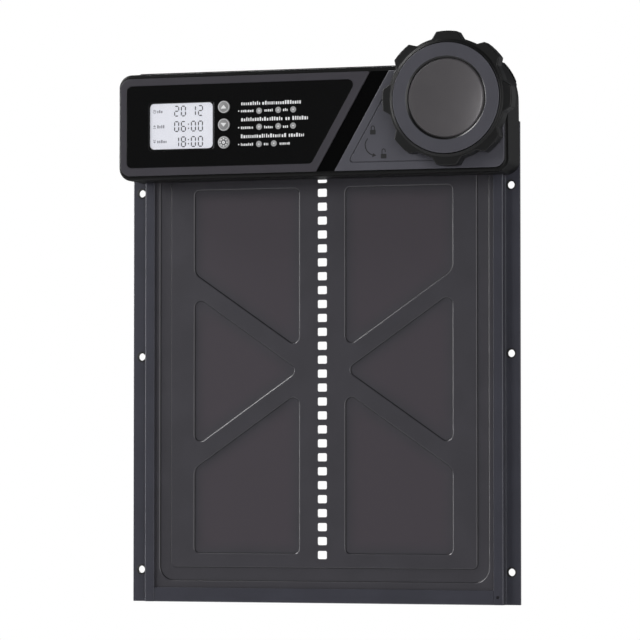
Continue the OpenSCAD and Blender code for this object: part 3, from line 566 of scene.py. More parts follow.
def door_face(shape, face, wider):
    """One face of the pressed sheet. Returns its corners, its line along the top edge and its hole rims."""
    half = SIDE if wider == 0 else SIDE - 0.1
    down = [(i, face - PRESS * drop, tint) for i, drop, tint in WALL]
    across = [(i, face - PRESS * drop, tint) for i, drop, tint in FLOOR]
    half_w, low, r = GROOVE_OUT
    out = [shape.ring(groove_path(half_w - i + wider, low + i - wider, r - i + wider), d, tint)
           for i, d, tint in down]
    half_w, low, r = GROOVE_IN
    island = [shape.ring(groove_path(half_w + i - wider, low - i + wider, r + i - wider), d, tint)
              for i, d, tint in down]
    shape.stack(out, False)
    shape.stack(island, False)
    edge = [(-half, DOOR_TOP), (-half, DOOR_BOTTOM), (half, DOOR_BOTTOM), (half, DOOR_TOP)]
    corners = shape.ring(edge, face)
    shape.cap([corners + out[0][::-1]])
    shape.cap([out[-1] + island[-1][::-1]])
    holes = []
    for pocket, radii in pocket_outlines():
        walls = [shape.ring(outline(pocket, [r + wider for r in radii], i - wider, 8), d, tint)
                 for i, d, tint in down]
        walls += [shape.ring(outline(pocket, [r + i for r in radii], i - wider, 8), d, tint)
                  for i, d, tint in across]
        shape.stack(walls)
        shape.cap([walls[-1]])
        holes.append(walls[0])
    rims = []
    for k in range(RACK_COUNT):
        z = RACK_BOTTOM + RACK_PITCH * k
        hole = rectangle(-RACK_HALF_W, z - RACK_HALF_H, RACK_HALF_W, z + RACK_HALF_H)
        rings = [shape.ring(outline(hole, RACK_R, -grow, 4), face - drop if wider == 0 else face + drop)
                 for grow, drop in RACK_RIM]
        shape.stack(rings)
        holes.append(rings[0])
        rims.append(rings[-1])
    shape.cap([island[0]] + holes)
    left = [corners[0]] + [ring[0] for ring in out] + [ring[0] for ring in reversed(island)]
    right = [ring[-1] for ring in island] + [ring[-1] for ring in reversed(out)] + [corners[3]]
    return corners, left + right, rims


def fold_section():
    """The right side's folded edge, from the front face round to the back face, as (x, depth)."""
    x, back, inside = DOOR_EDGE, DOOR_BACK, DOOR_EDGE - SHEET
    turn = [pi / 2 * k / 6 for k in range(1, 7)]
    fold = [(SIDE + (x - SIDE) * sin(a), DOOR_FRONT - FOLD_R + FOLD_R * cos(a)) for a in turn]
    return fold + [(x, back + 0.2), (x - 0.2, back), (inside + 0.2, back), (inside, back + 0.2),
                   (inside, 4.0), (inside - 0.1, 4.3)]


def make_door():
    """The sheet's two faces, joined by its hole rims, folded sides and top and bottom edges."""
    shape = Shape()
    front_corners, front_top, front_rims = door_face(shape, DOOR_FRONT, 0)
    back_corners, back_top, back_rims = door_face(shape, DOOR_FRONT - SHEET, SPREAD)
    for a, b in zip(front_rims, back_rims):
        shape.bridge(a, b)
    section = fold_section()
    ends = []
    for sign, upper, lower in ((1, 3, 2), (-1, 0, 1)):
        chains = []
        for corner, z in ((upper, DOOR_TOP), (lower, DOOR_BOTTOM)):
            chains.append([front_corners[corner]] + shape.add([(sign * x, d, z) for x, d in section])
                          + [back_corners[corner]])
        shape.bridge(chains[0], chains[1], False)
        ends.append(chains)
    (right_top, right_low), (left_top, left_low) = ends
    shape.cap([front_top[:-1] + right_top + back_top[::-1][1:-1] + left_top[::-1][:-1]], (0, 1))
    shape.cap([[front_corners[1]] + right_low + left_low[::-1][:-1]], (0, 1))
    place(shape.object("door_sheet"), "door", DOOR_METAL, ["door_panel"], 30)


make_door()

# ---------- rails and sill ----------

_, HALF, _, _, RAIL_BOTTOM, RAIL_TOP = extent("right_rail")
# (x, depth) round the right rail: the flange, the step and the lip in front of the door's edge
RAIL_SECTION = [(121, 0), (HALF, 0), (HALF, 2), (135.7, 2), (135.7, 7.4), (128.2, 7.4), (128.2, 5.9),
                (134.2, 5.9), (134.2, 1.5), (121, 1.5)]
RAIL_RADII = [0.2, 0.35, 0.35, 0.4, 1.1, 0.35, 0.3, 0.4, 0.4, 0.3]
FIX_X, FIX_Z, FIX_R = 140, [-137.0, 17.65, 137.0], 2.75
RIVET_X, RIVET_Z, RIVET_R = 124.5, -154.7, 1.6


def hole_tool(x, z, r, back, front, flare=0.35):
    """The tool for a round hole whose rims are slightly flared."""
    shape = Shape()
    shape.lathe(x, z, [(0, back - 1), (r + flare + 1, back - 1), (r, back + flare), (r, front - flare),
                       (r + flare + 1, front + 1), (0, front + 1)], 48)
    return shape.object("tool")


def make_rail(name, sign, drain):
    shape = Shape()
    section = RAIL_SECTION if sign > 0 else [(-x, d) for x, d in reversed(RAIL_SECTION)]
    radii = RAIL_RADII if sign > 0 else RAIL_RADII[::-1]
    shape.sweep(lambda inset: outline(section, radii, inset, 5), RAIL_BOTTOM, RAIL_TOP)
    rail = shape.object(name + "_extrusion")
    cut(rail, *[hole_tool(sign * FIX_X, z, FIX_R, 0, 2) for z in FIX_Z])
    cut(rail, hole_tool(sign * RIVET_X, RIVET_Z, RIVET_R, 0, 1.5))
    if drain:  # a small hole in the lip, and a wider one behind it
        cut(rail, hole_tool(131.2, RIVET_Z, 1.1, 5.9, 7.4, 0.2), hole_tool(129.3, RIVET_Z, 2.2, 0, 1.5, 0.2))
    place(rail, "frame", METAL, [name])


def make_fixing_hole_shade():
    """The black edge round each fixing hole, which also lines its wall, is painted shade standing in for the
    shade inside the hole.
    """
    r, bore = 3.8, 2.66
    section = [(FIX_R - 0.01, 0.1), (FIX_R - 0.01, 1.7), (r, 1.98), (r, 2.1), (r - 0.1, 2.14), (bore, 2.14),
               (bore, 0.1)]
    rims = Shape()
    for sign in (-1, 1):
        for z in FIX_Z:
            rims.lathe(sign * FIX_X, z, section, 48)
    place(rims.object("fixing_hole_shade_rims"), "frame", DARK_PRINT_AND_HOLE_SHADE)


def make_sill():
    x0, x1, back, front, z0, z1 = extent("sill")
    section = [(back, z0), (front, z0), (front, z1), (front - 1.5, z1), (front - 1.5, z0 + 1.5),
               (back + 1.45, z0 + 1.5), (back + 1.45, -151), (back, -151)]
    radii = [0.4, 0.9, 0.35, 0.35, 0.4, 0.4, 0.3, 0.3]
    shape = Shape()
    rings = []
    for x, inset in ((x0, 0.2), (x0 + 0.2, 0), (x1 - 0.2, 0), (x1, 0.2)):
        ring = outline(section, radii, inset, 5)
        rings.append(shape.add([(x, d, z) for d, z in ring]))
    shape.stack(rings)
    shape.cap([rings[0]], (1, 2))
    shape.cap([rings[-1]], (1, 2))
    sill = shape.object("sill_channel")
    cut(sill, *[hole_tool(sign * RIVET_X, RIVET_Z, RIVET_R, back, back + 1.5, 0.1) for sign in (-1, 1)])
    place(sill, "frame", METAL, ["sill"])


make_rail("left_rail", -1, False)
make_rail("right_rail", 1, True)
make_fixing_hole_shade()
make_sill()

# ---------- housing ----------

CAP = extent("battery_cap")
CX, CZ = middle("battery_cap")
BOTTOM = extent("front_housing")[4]
TOP = BOTTOM + 77.0
FACE = 33.3  # depth of the shell's front
SKIN = 2.5  # its wall thickness
BOSS_R = HALF - CX - 0.2
EDGE = 3.0  # rounding of the shell's front edge
CORNER_R = BOSS_R - 0.3  # the round upper right corner, about the battery cap
CORNER_TURN = asin((TOP - CZ) / CORNER_R)
CORNER = [(CX + CORNER_R * cos(a), CZ + CORNER_R * sin(a))
          for a in (CORNER_TURN * k / 8 for k in range(9))]
HOUSE_CORNERS = [(-HALF, BOTTOM), (HALF, BOTTOM), *CORNER, (-HALF, TOP)]
HOUSE_RADII = [9.5, 9.5, *[0.0] * len(CORNER), 9.5]
LCD_BOX = extent("lcd_display")
LCD_X, LCD_Z = middle("lcd_display")
LCD_HALF = ((LCD_BOX[1] - LCD_BOX[0]) / 2, (LCD_BOX[5] - LCD_BOX[4]) / 2)
BUTTONS = {key: middle("button_" + key) for key in ("up", "down", "set")}
BUTTON_HOLE_R = 4.6
LEDGE_BACK, LEDGE_FRONT = 10.8, 14  # depths of the inner ledge that carries the chassis plate
PASSAGE = 7.8  # depth of the openings that the door runs through
COLLAR_R, COLLAR_FRONT = 38.9, 39.45  # the collar under the battery cap
WELL_R = 37  # the battery well inside it


def lcd_opening(gap, r=1.8):
    """The display's outline, grown by gap."""
    x, z = LCD_HALF
    corners = rectangle(LCD_X - x - gap, LCD_Z - z - gap, LCD_X + x + gap, LCD_Z + z + gap)
    return cornered(corners, r)


def prism(name, outline_at, back, front, edge=0.01, rear=0.01, steps=4):
    """An extruded outline, a function of inset, with a rounded front edge and a bevelled rear one."""
    shape = Shape()
    levels = [(rear, back), (0, back + rear)] + [(i, front - d) for i, d in rounding(edge, steps)]
    rings = [shape.ring(outline_at(i), d) for i, d in levels]
    shape.stack(rings)
    shape.cap([rings[0]])
    shape.cap([rings[-1]])
    return shape.object(name)


# Screw posts of the chassis plate and of the circuit board
CHASSIS_POSTS = [(-129.5, 153.5), (-129.5, 210.5), (-40, 153.5), (-40, 210.5), (58, 153.4), (58, 210.5),
                 (131, 153.5)]
BOARD_POSTS = [(-121.5, 161.5), (-55.5, 161.5), (-121.5, 204.5), (-55.5, 204.5)]


def box_tool(x0, z0, x1, z1, r, back, front):
    return prism("tool", cornered(rectangle(x0, z0, x1, z1), r), back, front)


def make_housing():
    """The shell with its boss, hollowed behind and in front of the chassis plate, and its openings."""
    body = cornered(HOUSE_CORNERS, HOUSE_RADII, 10)
    shell = prism("front_shell", body, 2.2, FACE, EDGE, 0.3, 8)
    boss = prism("tool", disc(CX, CZ, BOSS_R, 128), 9.1, FACE, 1.2, 0.2, 5)
    combine(shell, boss, "UNION")

    def inner(inset):
        return outline(HOUSE_CORNERS, HOUSE_RADII, SKIN + inset, 8)

    cut(shell,
        prism("tool", inner, 1.2, LEDGE_BACK),
        box_tool(-133, 151, 133, 213, 0.5, LEDGE_BACK - 1, LEDGE_FRONT + 1),
        prism("tool", inner, LEDGE_FRONT, FACE - SKIN),
        box_tool(-136.2, BOTTOM - 1, 136.2, BOTTOM + SKIN + 1, 0.4, 0, PASSAGE),
        box_tool(-141.5, TOP - SKIN - 1, 135.1, TOP + 1, 0.4, 0, PASSAGE))
    combine(shell, prism("tool", disc(CX, CZ, BOSS_R - 0.1, 96), LEDGE_BACK, FACE - 1.2), "UNION")
    combine(shell, prism("tool", disc(CX, CZ, COLLAR_R, 96), FACE - 1.5, COLLAR_FRONT, 0.3), "UNION")
    posts = Shape()
    for x, z in CHASSIS_POSTS:
        posts.plate(disc(x, z, 3, 24), [disc(x, z, 1.1, 16)], 9.65, FACE - 1, 0.01, 0.1)
    for x, z in BOARD_POSTS:
        posts.plate(disc(x, z, 2.6, 24), [disc(x, z, 0.9, 16)], 24.65, FACE - 1, 0.01, 0.1)
    combine(shell, posts.object("tool"), "UNION")
    cut(shell,
        prism("tool", disc(CX, CZ, WELL_R, 96), LEDGE_BACK + 2, 42),
        prism("tool", lcd_opening(1.0, 2.2), FACE - SKIN - 1, FACE + 1),
        box_tool(CX - BOSS_R - 2, CZ - 1.1, CX - WELL_R + 2, CZ + 1.1, 0.3, 15.1, 19.5),
        *[prism("tool", disc(x, z, BUTTON_HOLE_R), FACE - SKIN - 1, FACE + 1) for x, z in BUTTONS.values()])
    place(shell, "frame", SHELL, ["front_housing"], 32)


make_housing()
refined("back_plate", 0.4, "frame", SHELL)
refined("chassis_plate", 0.25, "frame", SLOT_FINISHES["chassis"])

# ---------- fascia ----------

SLANT = radians(30)
LEAN = tan(SLANT)
FASCIA_X, _, _, FASCIA_FRONT, Z0, Z1 = extent("left_fascia")
FASCIA_R, LABEL_R = 7.5, 4.0  # corner radii
RISE_X = LEAN * (Z1 - Z0)  # how far a slanted end runs right over the fascia's height
LABEL_X, _, LABEL_FLOOR, LABEL_FRONT, LABEL_Z0, LABEL_Z1 = extent("control_label")
# Where the slanted ends meet their lower edges
LEFT_END, BAND_START, BAND_END, RIGHT_START, LABEL_END = 5, 5.4, 18.5, 18.9, 1.7
LABEL_CORNERS = [(LABEL_X, LABEL_Z0), (LABEL_END, LABEL_Z0),
                 (LABEL_END + LEAN * (LABEL_Z1 - LABEL_Z0), LABEL_Z1), (LABEL_X, LABEL_Z1)]


def plate_piece(name, slot, look, replaces, *sizes):
    """A piece of the frame that is one plate, with the outline and sizes that Shape.plate takes."""
    shape = Shape()
    shape.plate(*sizes)
    place(shape.object(name), "frame", look, replaces)


def button_holes():
    return [disc(x, z, BUTTON_HOLE_R, 48) for x, z in BUTTONS.values()]


def make_left_fascia():
    corners = [(FASCIA_X, Z0), (LEFT_END, Z0), (LEFT_END + RISE_X, Z1), (FASCIA_X, Z1)]
    recess = cornered(LABEL_CORNERS, LABEL_R, 8)
    plate_piece("left_fascia_plate", "fascia", DARK_SATIN, ["left_fascia"],
                cornered(corners, [FASCIA_R, 1, 1, FASCIA_R], 8), [], FACE, FASCIA_FRONT, 0.5, 0.05,
                [(lambda inset: recess(inset - 0.15), LABEL_FLOOR, [lcd_opening(0.5), *button_holes()])])


def make_label():
    plate_piece("label_plate", "gloss_label", GLOSS, ["control_label"],
                cornered(LABEL_CORNERS, LABEL_R, 8), [lcd_opening(0.5), *button_holes()],
                LABEL_FLOOR, LABEL_FRONT, 0.22, 0.02)


def right_outline(inset):
    """The right fascia: slanted left side, rounded lower corner and a bite round the battery boss."""
    r = BOSS_R + 0.2 + inset
    x1 = extent("right_fascia")[1] - inset
    low, high = Z0 + inset, Z1 - inset
    lean = inset / cos(SLANT)
    left_low = RIGHT_START + lean + LEAN * inset
    left_high = RIGHT_START + lean + LEAN * (Z1 - Z0 - inset)
    # where the bite leaves the right side and the top edge
    a0 = -acos(min((x1 - CX) / r, 1.0))
    a1 = -(pi + asin((high - CZ) / r))
    bite = [(CX + r * cos(a0 + (a1 - a0) * k / 90), CZ + r * sin(a0 + (a1 - a0) * k / 90))
            for k in range(91)]
    corner = FASCIA_R - inset
    arc = [(x1 - corner + corner * sin(t), low + corner - corner * cos(t))
           for t in (pi / 2 * k / 10 for k in range(11))]
    return [(left_low, low), *arc, *bite, (left_high, high)]


def make_right_fascia():
    """The thin groove runs down beside the band, turns, and runs right along the bottom."""
    turn = outline([(60.0, 206.4), (29.3, 153.2), (112.0, 153.2)], [0, 2.2, 0], 0, 8)
    path = [(CX - 47.0, CZ + 8.8)] + turn[1:-1] + [(99.0, 153.2)]
    plate_piece("right_fascia_plate", "fascia", SATIN, ["right_fascia"],
                right_outline, [], FACE, FASCIA_FRONT, 0.5, 0.05,
                [(lambda inset: channel(path, 0.36 - inset), FASCIA_FRONT - 0.9, [])])


def make_band():
    """The glossy inlay in the gap between the two fascias."""
    corners = [(BAND_START, Z0), (BAND_END, Z0), (BAND_END + RISE_X, Z1), (BAND_START + RISE_X, Z1)]
    plate_piece("band_inlay", "gloss_label", GLOSS_BLACK, (),
                cornered(corners, 0.6), [], FACE, FACE + 0.35, 0.15, 0.02)


make_left_fascia()
make_label()
make_right_fascia()
make_band()

# ---------- print ----------


def ink(name, flats, depth, look, body="frame", thick=0.04):
    """Thin raised print from a list of flat outlines."""
    shape = Shape()
    for flat in flats:
        back, front = shape.ring(flat, depth - 0.01), shape.ring(flat, depth + thick)
        shape.bridge(back, front)
        shape.cap([back])
        shape.cap([front])
    place(shape.object(name), body, look)


def word_marks(draw, x, z, width, height):
    """A word-like row of small upright blocks that isn't lettering."""
    marks, end = [], x + width
    while x < end - 0.5:
        w = draw.uniform(0.3, 0.55) * height
        h = height * draw.choice((0.72, 0.78, 0.85, 1.0))
        marks.append(outline(rectangle(x, z, min(x + w, end), z + h), 0.15 * height, 0, 2))
        x += w + height * 0.22
    return marks


def triangle(x, z, size, sign):
    """An arrow head that points up, or down where sign is -1."""
    foot, tip = z - sign * size * 0.55, z + sign * size * 0.65
    corners = [(x - size, foot), (x, tip), (x + size, foot)]
    return outline(corners[::sign], size * 0.12, 0, 3)


def gear_marks(x, z, r):
    """Eight short teeth in a ring of radius r."""
    marks = []
    for k in range(8):
        a = pi / 4 * k
        c, s = cos(a), sin(a)
        box = [(r * 0.76, -r * 0.2), (r * 1.14, -r * 0.17), (r * 1.14, r * 0.17), (r * 0.76, r * 0.2)]
        marks.append([(x + c * u - s * v, z + s * u + c * v) for u, v in box])
    return marks


def ring_print(name, x, z, outer, inner, depth, look, body="frame", thick=0.04, steps=32):
    """A thin raised ring."""
    back, front = depth - 0.01, depth + thick
    shape = Shape()
    shape.lathe(x, z, [(outer, back), (outer, front), (inner, front), (inner, back)], steps)
    place(shape.object(name), body, look)


# Rows of print: baseline, height, then the left and right end of each word
HEADINGS = [(196.2, 2.8, [(-51.3, -36.1), (-35.3, -26.0), (-25.1, -6.1)]),
            (184.7, 2.8, [(-51.3, -30.6), (-29.7, -18.9), (-17.7, -14.1), (-12.5, -0.8)]),
            (172.6, 2.8, [(-51.5, -33.3), (-32.4, -21.6), (-20.6, -16.8), (-15.2, -3.8)])]
LINES = [(191.2, 2.1, [(-51.5, -41.6), (-33.6, -27.4), (-19.6, -15.7)]),
         (179.2, 2.1, [(-51.5, -41.8), (-33.8, -27.4), (-19.6, -15.7)]),
         (167.1, 2.1, [(-51.5, -41.8), (-34.0, -30.3), (-22.1, -13.6)])]


def label_print():
    """The rows of word-like marks, and the dot at the head of each line."""
    draw = random.Random(7)
    white = []
    for z, height, words in HEADINGS + LINES:
        for x0, x1 in words:
            white += word_marks(draw, x0, z, x1 - x0, height)
    for z, height, words in LINES:
        white.append(circle(-53.2, z + height / 2, 0.5, 12))
    return white


# Grey discs in the lines, each with the sign of a button
GREY_DOTS = [(-37.7, 192.0, "gear"), (-23.2, 192.2, "up"), (-11.9, 192.2, "down"),
             (-37.7, 180.5, "gear"), (-23.2, 180.6, "up"), (-12.0, 180.6, "down"),
             (-37.8, 168.2, "up"), (-26.5, 168.3, "down")]


def make_prints():
    ink("label_marks", label_print(), LABEL_FRONT, INK_WHITE)
    ink("label_dots", [circle(x, z, 2.2, 32) for x, z, _ in GREY_DOTS], LABEL_FRONT, INK_GREY)
    marks = []
    for x, z, kind in GREY_DOTS:
        if kind == "gear":
            marks += gear_marks(x, z, 0.9) + [circle(x, z, 0.5, 12)]
        else:
            marks.append(triangle(x, z, 0.85, 1 if kind == "up" else -1))
    ink("label_dot_icons", marks, LABEL_FRONT + 0.04, INK_WHITE)


make_prints()


def padlock(x, z, lift):
    """A generic padlock standing on x, z. A lift raises its shackle and frees one leg."""
    body = outline(rectangle(x - 2.1, z, x + 2.1, z + 3.3), 0.5, 0, 3)
    reach, top = 1.2, z + 4.9 + lift
    arch = [(x - reach * cos(a), top + reach * sin(a))
            for a in (pi * k / 8 for k in range(9))]
    free_leg = top - 1.2 if lift else z + 3.2
    return [body, channel([(x - reach, z + 3.2), *arch, (x + reach, free_leg)], 0.33)]


def make_lock_icons():
    """A closed padlock, and an arrow that curves down to an open one."""
    arc = [(44.0, 169.9), (42.6, 167.8), (42.0, 165.6), (42.4, 163.1), (43.5, 160.9), (45.6, 159.0),
           (48.0, 157.8)]
    head = [(48.0, 159.4), (47.2, 156.4), (50.4, 157.7)]
    marks = [*padlock(47.8, 172.6, 0.0), *padlock(55.8, 155.4, 0.7), channel(arc, 0.36), head]
    ink("lock_icons", marks, FASCIA_FRONT, DARK_PRINT_AND_HOLE_SHADE)


make_lock_icons()

# ---------- display ----------


def make_display():
    """The panel, the clear pane before it and the pane's black border."""
    x, z = LCD_HALF
    pane = LABEL_FRONT - 0.08
    plate_piece("lcd_panel", "lcd", LCD, ["lcd_display"],
                lcd_opening(0, 0.4), [], LCD_BOX[2], LCD_BOX[3], 0.05, 0.05)
    plate_piece("window_pane", "clear_window", WINDOW, ["lcd_window"],
                lcd_opening(0.4, 1.7), [], LABEL_FLOOR, pane, 0.12, 0.02)
    seen = cornered(rectangle(LCD_X - x + 0.5, LCD_Z - z + 0.25, LCD_X + x - 0.3, LCD_Z + z + 0.1), 3.2)
    plate_piece("window_border", "gloss_label", GLOSS, (),
                lcd_opening(0.45, 1.7), [seen], pane, pane + 0.04, 0.01, 0.01)


SEGMENTS = {"0": "abcdef", "1": "bc", "2": "abged", "6": "afgedc", "8": "abcdefg"}


def digit(char, x, z, w, h, t):
    """Seven-segment bars, t thick, of a digit whose lower left corner is at x, z."""
    half, gap = t / 2, t * 0.4
    low, mid, high = z + half, z + h / 2, z + h - half
    left, right = x + half, x + w - half

    def across(y):
        a, b = left + gap, right - gap
        return [(a, y), (a + half, y - half), (b - half, y - half), (b, y), (b - half, y + half),
                (a + half, y + half)]

    def upright(u, low_end, high_end):
        a, b = low_end + gap, high_end - gap
        return [(u, a), (u + half, a + half), (u + half, b - half), (u, b), (u - half, b - half),
                (u - half, a + half)]

    bars = {"a": across(high), "g": across(mid), "d": across(low),
            "f": upright(left, mid, high), "b": upright(right, mid, high),
            "e": upright(left, low, mid), "c": upright(right, low, mid)}
    return [bars[segment] for segment in SEGMENTS[char]]


def digit_bars():
    """Three rows of four digits, with a colon in the lower two."""
    x0, z1 = LCD_BOX[0], LCD_BOX[5]
    bars = []
    width, height, bar = 3.9, 7.8, 0.8
    first_row, row_pitch = 9.6, 11.1
    columns = [x0 + 18.8, x0 + 24.0, x0 + 31.7, x0 + 37.1]
    for row, text in enumerate(("2012", "0600", "1800")):
        z = z1 - first_row - row_pitch * row
        for x, char in zip(columns, text):
            bars += digit(char, x, z, width, height, bar)
        if row:
            bars += [outline(rectangle(x0 + 29.4, z + up, x0 + 30.2, z + up + 0.9), 0.1, 0, 2)
                     for up in (2.0, 4.9)]
    return bars


ROW_MARKS = [(-5.6, 10.3), (-16.6, 12.1), (-27.3, 13.7)]  # middle below the top, right end


def make_display_print():
    """The digits, and a faint icon with a word-like mark at the head of each row."""
    depth, left, top = LCD_BOX[3], LCD_BOX[0], LCD_BOX[5]
    ink("lcd_digits", digit_bars(), depth, SEGMENT)
    x = left + 3.7
    ring_print("lcd_clock_ring", x, top + ROW_MARKS[0][0], 1.3, 0.95, depth, SEGMENT_PALE)
    draw = random.Random(3)
    faint = []
    for (down, end), sign in zip(ROW_MARKS, (0, 1, -1)):
        z = top + down
        faint += word_marks(draw, left + 5.8, z - 1.2, end - 5.8, 2.4)
        if sign:
            faint += [triangle(x, z + sign * 0.5, 1.1, sign),
                      rectangle(x - 1.2, z - sign * 1.0 - 0.18, x + 1.2, z - sign * 1.0 + 0.18)]
        else:
            faint += [rectangle(x - 0.15, z - 0.1, x + 0.15, z + 0.8),
                      rectangle(x - 0.1, z - 0.15, x + 0.7, z + 0.15)]
    ink("lcd_row_icons", faint, depth, SEGMENT_PALE)


make_display()
make_display_print()

# ---------- buttons ----------


def make_button(key):
    """A dished cap on its flange, a pale rim and the button's sign."""
    node, body = "button_" + key, key + "_key"
    x0, x1, back, front = extent(node)[:4]
    flange, r = (x1 - x0) / 2, 4.45
    x, z = BUTTONS[key]
    shape = Shape()
    crown = [(r - i, front - 0.28 - d) for i, d in rounding(0.5, 5)]
    shape.lathe(x, z, [(0, back), (flange, back), (flange, back + 0.8), (r, back + 0.8)] + crown
                + [(3.7, front - 0.3), (3.5, front - 0.42), (2.0, front - 0.2), (0, front - 0.14)], 64)
    place(shape.object(node + "_cap"), body, BUTTON_GREY, [node])
    ring_print(node + "_rim", x, z, 4.3, 3.6, front - 0.36, BUTTON_RIM, body, 0.12, 64)
    top = front - 0.24
    if key == "set":
        for name, outer, inner, look in (("ring", 1.95, 1.2, SEGMENT), ("centre", 1.2, 0.3, INK_WHITE)):
            ring_print("button_set_" + name, x, z, outer, inner, top, look, body, 0.2)
        ink("button_set_teeth", gear_marks(x, z, 2.75), top, INK_WHITE, body, 0.16)
    else:
        arrow = triangle(x, z, 2.3, 1 if key == "up" else -1)
        ink(node + "_arrow", [arrow], top, INK_WHITE, body, 0.2)


for key in BUTTONS:
    make_button(key)

# ---------- battery cap ----------

CAP_BACK, CAP_FRONT = CAP[2], 47.5
SKIRT_R, LOBE_R = 43.0, 47.4
LOBES = 8
RING_BOX = extent("cap_ring")
DISH_BOX = extent("cap_dish")
RING_R = (RING_BOX[1] - RING_BOX[0]) / 2
DISH_R = (DISH_BOX[1] - DISH_BOX[0]) / 2
GAP = 0.2  # between the dish and the ring round it


def skirt(inset):
    """The cap's outline with its trapezoid grip lobes."""
    base, tip = asin(10.8 / SKIRT_R), asin(7.6 / LOBE_R)
    step_angle = 2 * pi / LOBES
    between = step_angle - 2 * base
    lobe = [(-base, SKIRT_R, 1.6), (-tip, LOBE_R, 1.1)]
    lobe += [(tip * step, LOBE_R, 0.0) for step in (-0.5, 0.0, 0.5)]
    lobe += [(tip, LOBE_R, 1.1), (base, SKIRT_R, 1.6)]
    lobe += [(base + between * step, SKIRT_R, 0.0) for step in (0.34, 0.5, 0.66)]
    points, radii = [], []
    for k in range(LOBES):
        for angle, r, radius in lobe:
            a = step_angle * k + angle
            points.append((CX + r * cos(a), CZ + r * sin(a)))
            radii.append(radius)
    return outline(points, radii, inset, 5)


def make_cap():
    """The grip with its lobes, the sloping bezel round the ring, and the hollow behind."""
    back = [(0.8, CAP_BACK), (0.25, CAP_BACK + 0.15), (0, CAP_BACK + 0.6)]
    front = [(i, CAP_FRONT - d) for i, d in rounding(0.8, 4)]
    bezel = [(41.6, CAP_FRONT), (41.3, 47.62), (40.05, 48.85), (39.8, 49.05), (39.55, 49.08), (39.3, 48.9),
             (39.2, 48.6), (39.2, RING_BOX[2]), (DISH_R + GAP, RING_BOX[2]), (DISH_R + GAP, DISH_BOX[2])]
    hollow = [(36.5, 45.0), (36.5, 41.15), (40.5, 41.15), (40.5, CAP_BACK)]
    shape = Shape()
    sides = [shape.ring(skirt(i), d) for i, d in back + front]
    faces = [shape.ring(circle(CX, CZ, r, 160), d) for r, d in bezel]
    bores = [shape.ring(circle(CX, CZ, r, 128), d) for r, d in hollow]
    for rings in (sides, faces, bores):
        shape.stack(rings)
    shape.cap([sides[-1], faces[0]])
    shape.cap([faces[-1]])
    shape.cap([bores[0]])
    shape.cap([sides[0], bores[-1]])
    place(shape.object("cap_skirt"), "cap", GRIP, ["battery_cap"])


def make_cap_face():
    """The flat ring, bevelled down to the dish, and the dish with its raised rim."""
    back, front = RING_BOX[2:4]
    inner = DISH_R + GAP
    ring = [(RING_R - 0.3, back), (RING_R, back + 0.3)]
    ring += [(RING_R - i, front - d) for i, d in rounding(0.25, 3)]
    ring += [(inner + 1.6, front), (inner + 1.4, front - 0.03), (inner + 1.3, front - 0.1),
             (inner + 0.1, front - 0.9), (inner, front - 1.1), (inner, back)]
    shape = Shape()
    shape.lathe(CX, CZ, ring, 160)
    # the bevel down to the dish is painted black: painted shade where it faces away from the lamps
    shape.painted_light_tints = [1.0 if hypot(x - CX, z - CZ) < inner + 1.35 else 0.0 for x, _, z in shape.points]
    place(shape.object("cap_front_ring"), "cap", RING_SATIN, ["cap_ring"])

    back, front = DISH_BOX[2:4]
    hollow_r, sag = DISH_R - 1.7, 2.3
    dish = [(0, back), (DISH_R - 0.3, back), (DISH_R, back + 0.3), (DISH_R, front - 1.25),
            (DISH_R - 0.1, front - 1.0), (DISH_R - 0.9, front - 0.18), (DISH_R - 1.15, front - 0.02),
            (DISH_R - 1.45, front - 0.06)]
    dish += [(hollow_r * t, front - 0.15 - sag * (1 - t * t))
             for t in (1.0, 0.94, 0.86, 0.76, 0.65, 0.52, 0.38, 0.2)]
    dish.append((0, front - 0.15 - sag))
    shape = Shape()
    shape.lathe(CX, CZ, dish, 160)
    place(shape.object("cap_front_dish"), "cap", DISH_SATIN, ["cap_dish"])


make_cap()
make_cap_face()

# ---------- camera, light and floor, in metres ----------

MIDDLE = Vector((0, 0, 0.02))
FLOOR_REACH, FLOOR_DROP = 20.0, 1.6  # half its width, and how far it lies below the object


def make_camera():
    """A long lens from the right and slightly below, looking a little up."""
    yaw, pitch = 0.3263, 0.0384
    data = bpy.data.cameras.new("camera")
    data.lens, data.sensor_width = 221.02, 36.0
    data.clip_end = 100.0
    camera = new_object("camera", data)
    camera.location = (0.90206, -2.676, -0.0655)
    look = Vector((-sin(yaw) * cos(pitch), cos(yaw) * cos(pitch), sin(pitch)))
    camera.rotation_mode = "QUATERNION"
    camera.rotation_quaternion = look.to_track_quat("-Z", "Y")
    bpy.context.scene.camera = camera


def area_light(name, where, size, power):
    """A soft light aimed at the middle of the object."""
    data = bpy.data.lights.new(name, "AREA")
    data.shape, data.size, data.size_y = "RECTANGLE", size[0], size[1]
    data.energy = power
    light = new_object(name, data)
    light.visible_camera = False
    light.location = where
    light.rotation_mode = "QUATERNION"
    light.rotation_quaternion = (MIDDLE - Vector(where)).to_track_quat("-Z", "Y")


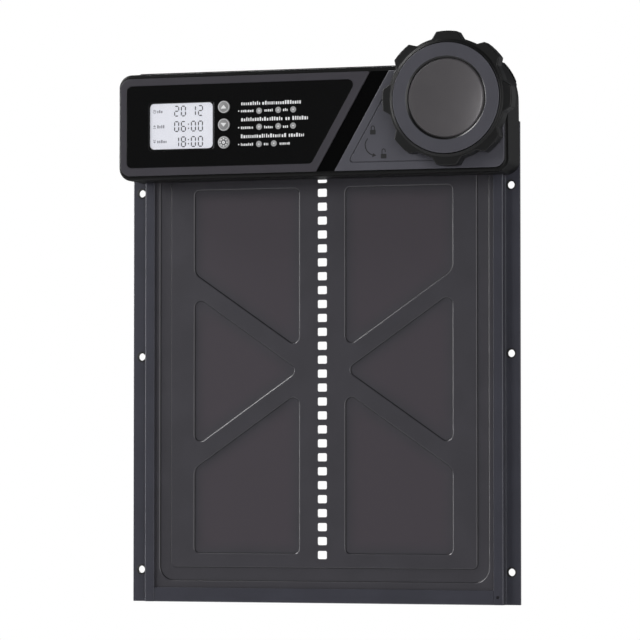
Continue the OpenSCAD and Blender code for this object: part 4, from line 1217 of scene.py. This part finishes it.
def make_world():
    """White where the camera sees it, and a softer grey as a light source."""
    world = bpy.data.worlds.new("world")
    world.use_nodes = True
    bpy.context.scene.world = world
    tree = world.node_tree
    seen = tree.nodes["Background"]
    seen.inputs["Color"].default_value = (1, 1, 1, 1)
    lighting = tree.nodes.new("ShaderNodeBackground")
    fill(lighting, {"Color": (0.93, 0.95, 1.0, 1), "Strength": 0.1})
    path = tree.nodes.new("ShaderNodeLightPath")
    mix = tree.nodes.new("ShaderNodeMixShader")
    tree.links.new(path.outputs["Is Camera Ray"], mix.inputs[0])
    tree.links.new(lighting.outputs[0], mix.inputs[1])
    tree.links.new(seen.outputs[0], mix.inputs[2])
    tree.links.new(mix.outputs[0], tree.nodes["World Output"].inputs["Surface"])


def make_floor():
    """A pale floor well below the object, which hangs on a wall."""
    z = cad_box[0].z - FLOOR_DROP
    corners = rectangle(-FLOOR_REACH, -FLOOR_REACH, FLOOR_REACH, FLOOR_REACH)
    mesh = bpy.data.meshes.new("floor")
    mesh.from_pydata([(x, y, z) for x, y in corners], [], [(0, 1, 2, 3)])
    floor = new_object("floor", mesh)
    nodes = Nodes("pale_floor")
    pale = colour_mix(nodes, nodes.noise(2.0), (0.82, 0.82, 0.83), (0.85, 0.85, 0.86))
    nodes.link(pale, nodes.shader.inputs["Base Color"])
    # a glow that only the camera sees keeps it pale without lighting the object from below
    nodes.link(pale, nodes.shader.inputs["Emission Color"])
    glow = nodes.arithmetic("MULTIPLY", nodes.new("LightPath").outputs["Is Camera Ray"], 0.85)
    nodes.link(glow, nodes.shader.inputs["Emission Strength"])
    fill(nodes.shader, {"Roughness": 0.9, "Specular IOR Level": 0.0})
    mesh.materials.append(nodes.material)


make_camera()
make_world()
make_floor()
area_light("key", (-4.2, -3.5, 1.4), (1.8, 1.8), 95)
area_light("front", (3.0, -3.8, 0.3), (4.0, 4.0), 104)
area_light("edge_strip", (-2.0, -0.6, 1.9), (0.8, 1.2), 40)
area_light("left_strip", (-2.6, -0.24, 0.1), (0.6, 0.9), 12)
area_light("rear_side", (1.6, 3.0, 0.3), (1.6, 1.6), 2)
area_light("rear", (-1.8, 3.2, 1.0), (2.0, 2.0), 110)
bpy.context.scene.view_settings.view_transform = "Standard"
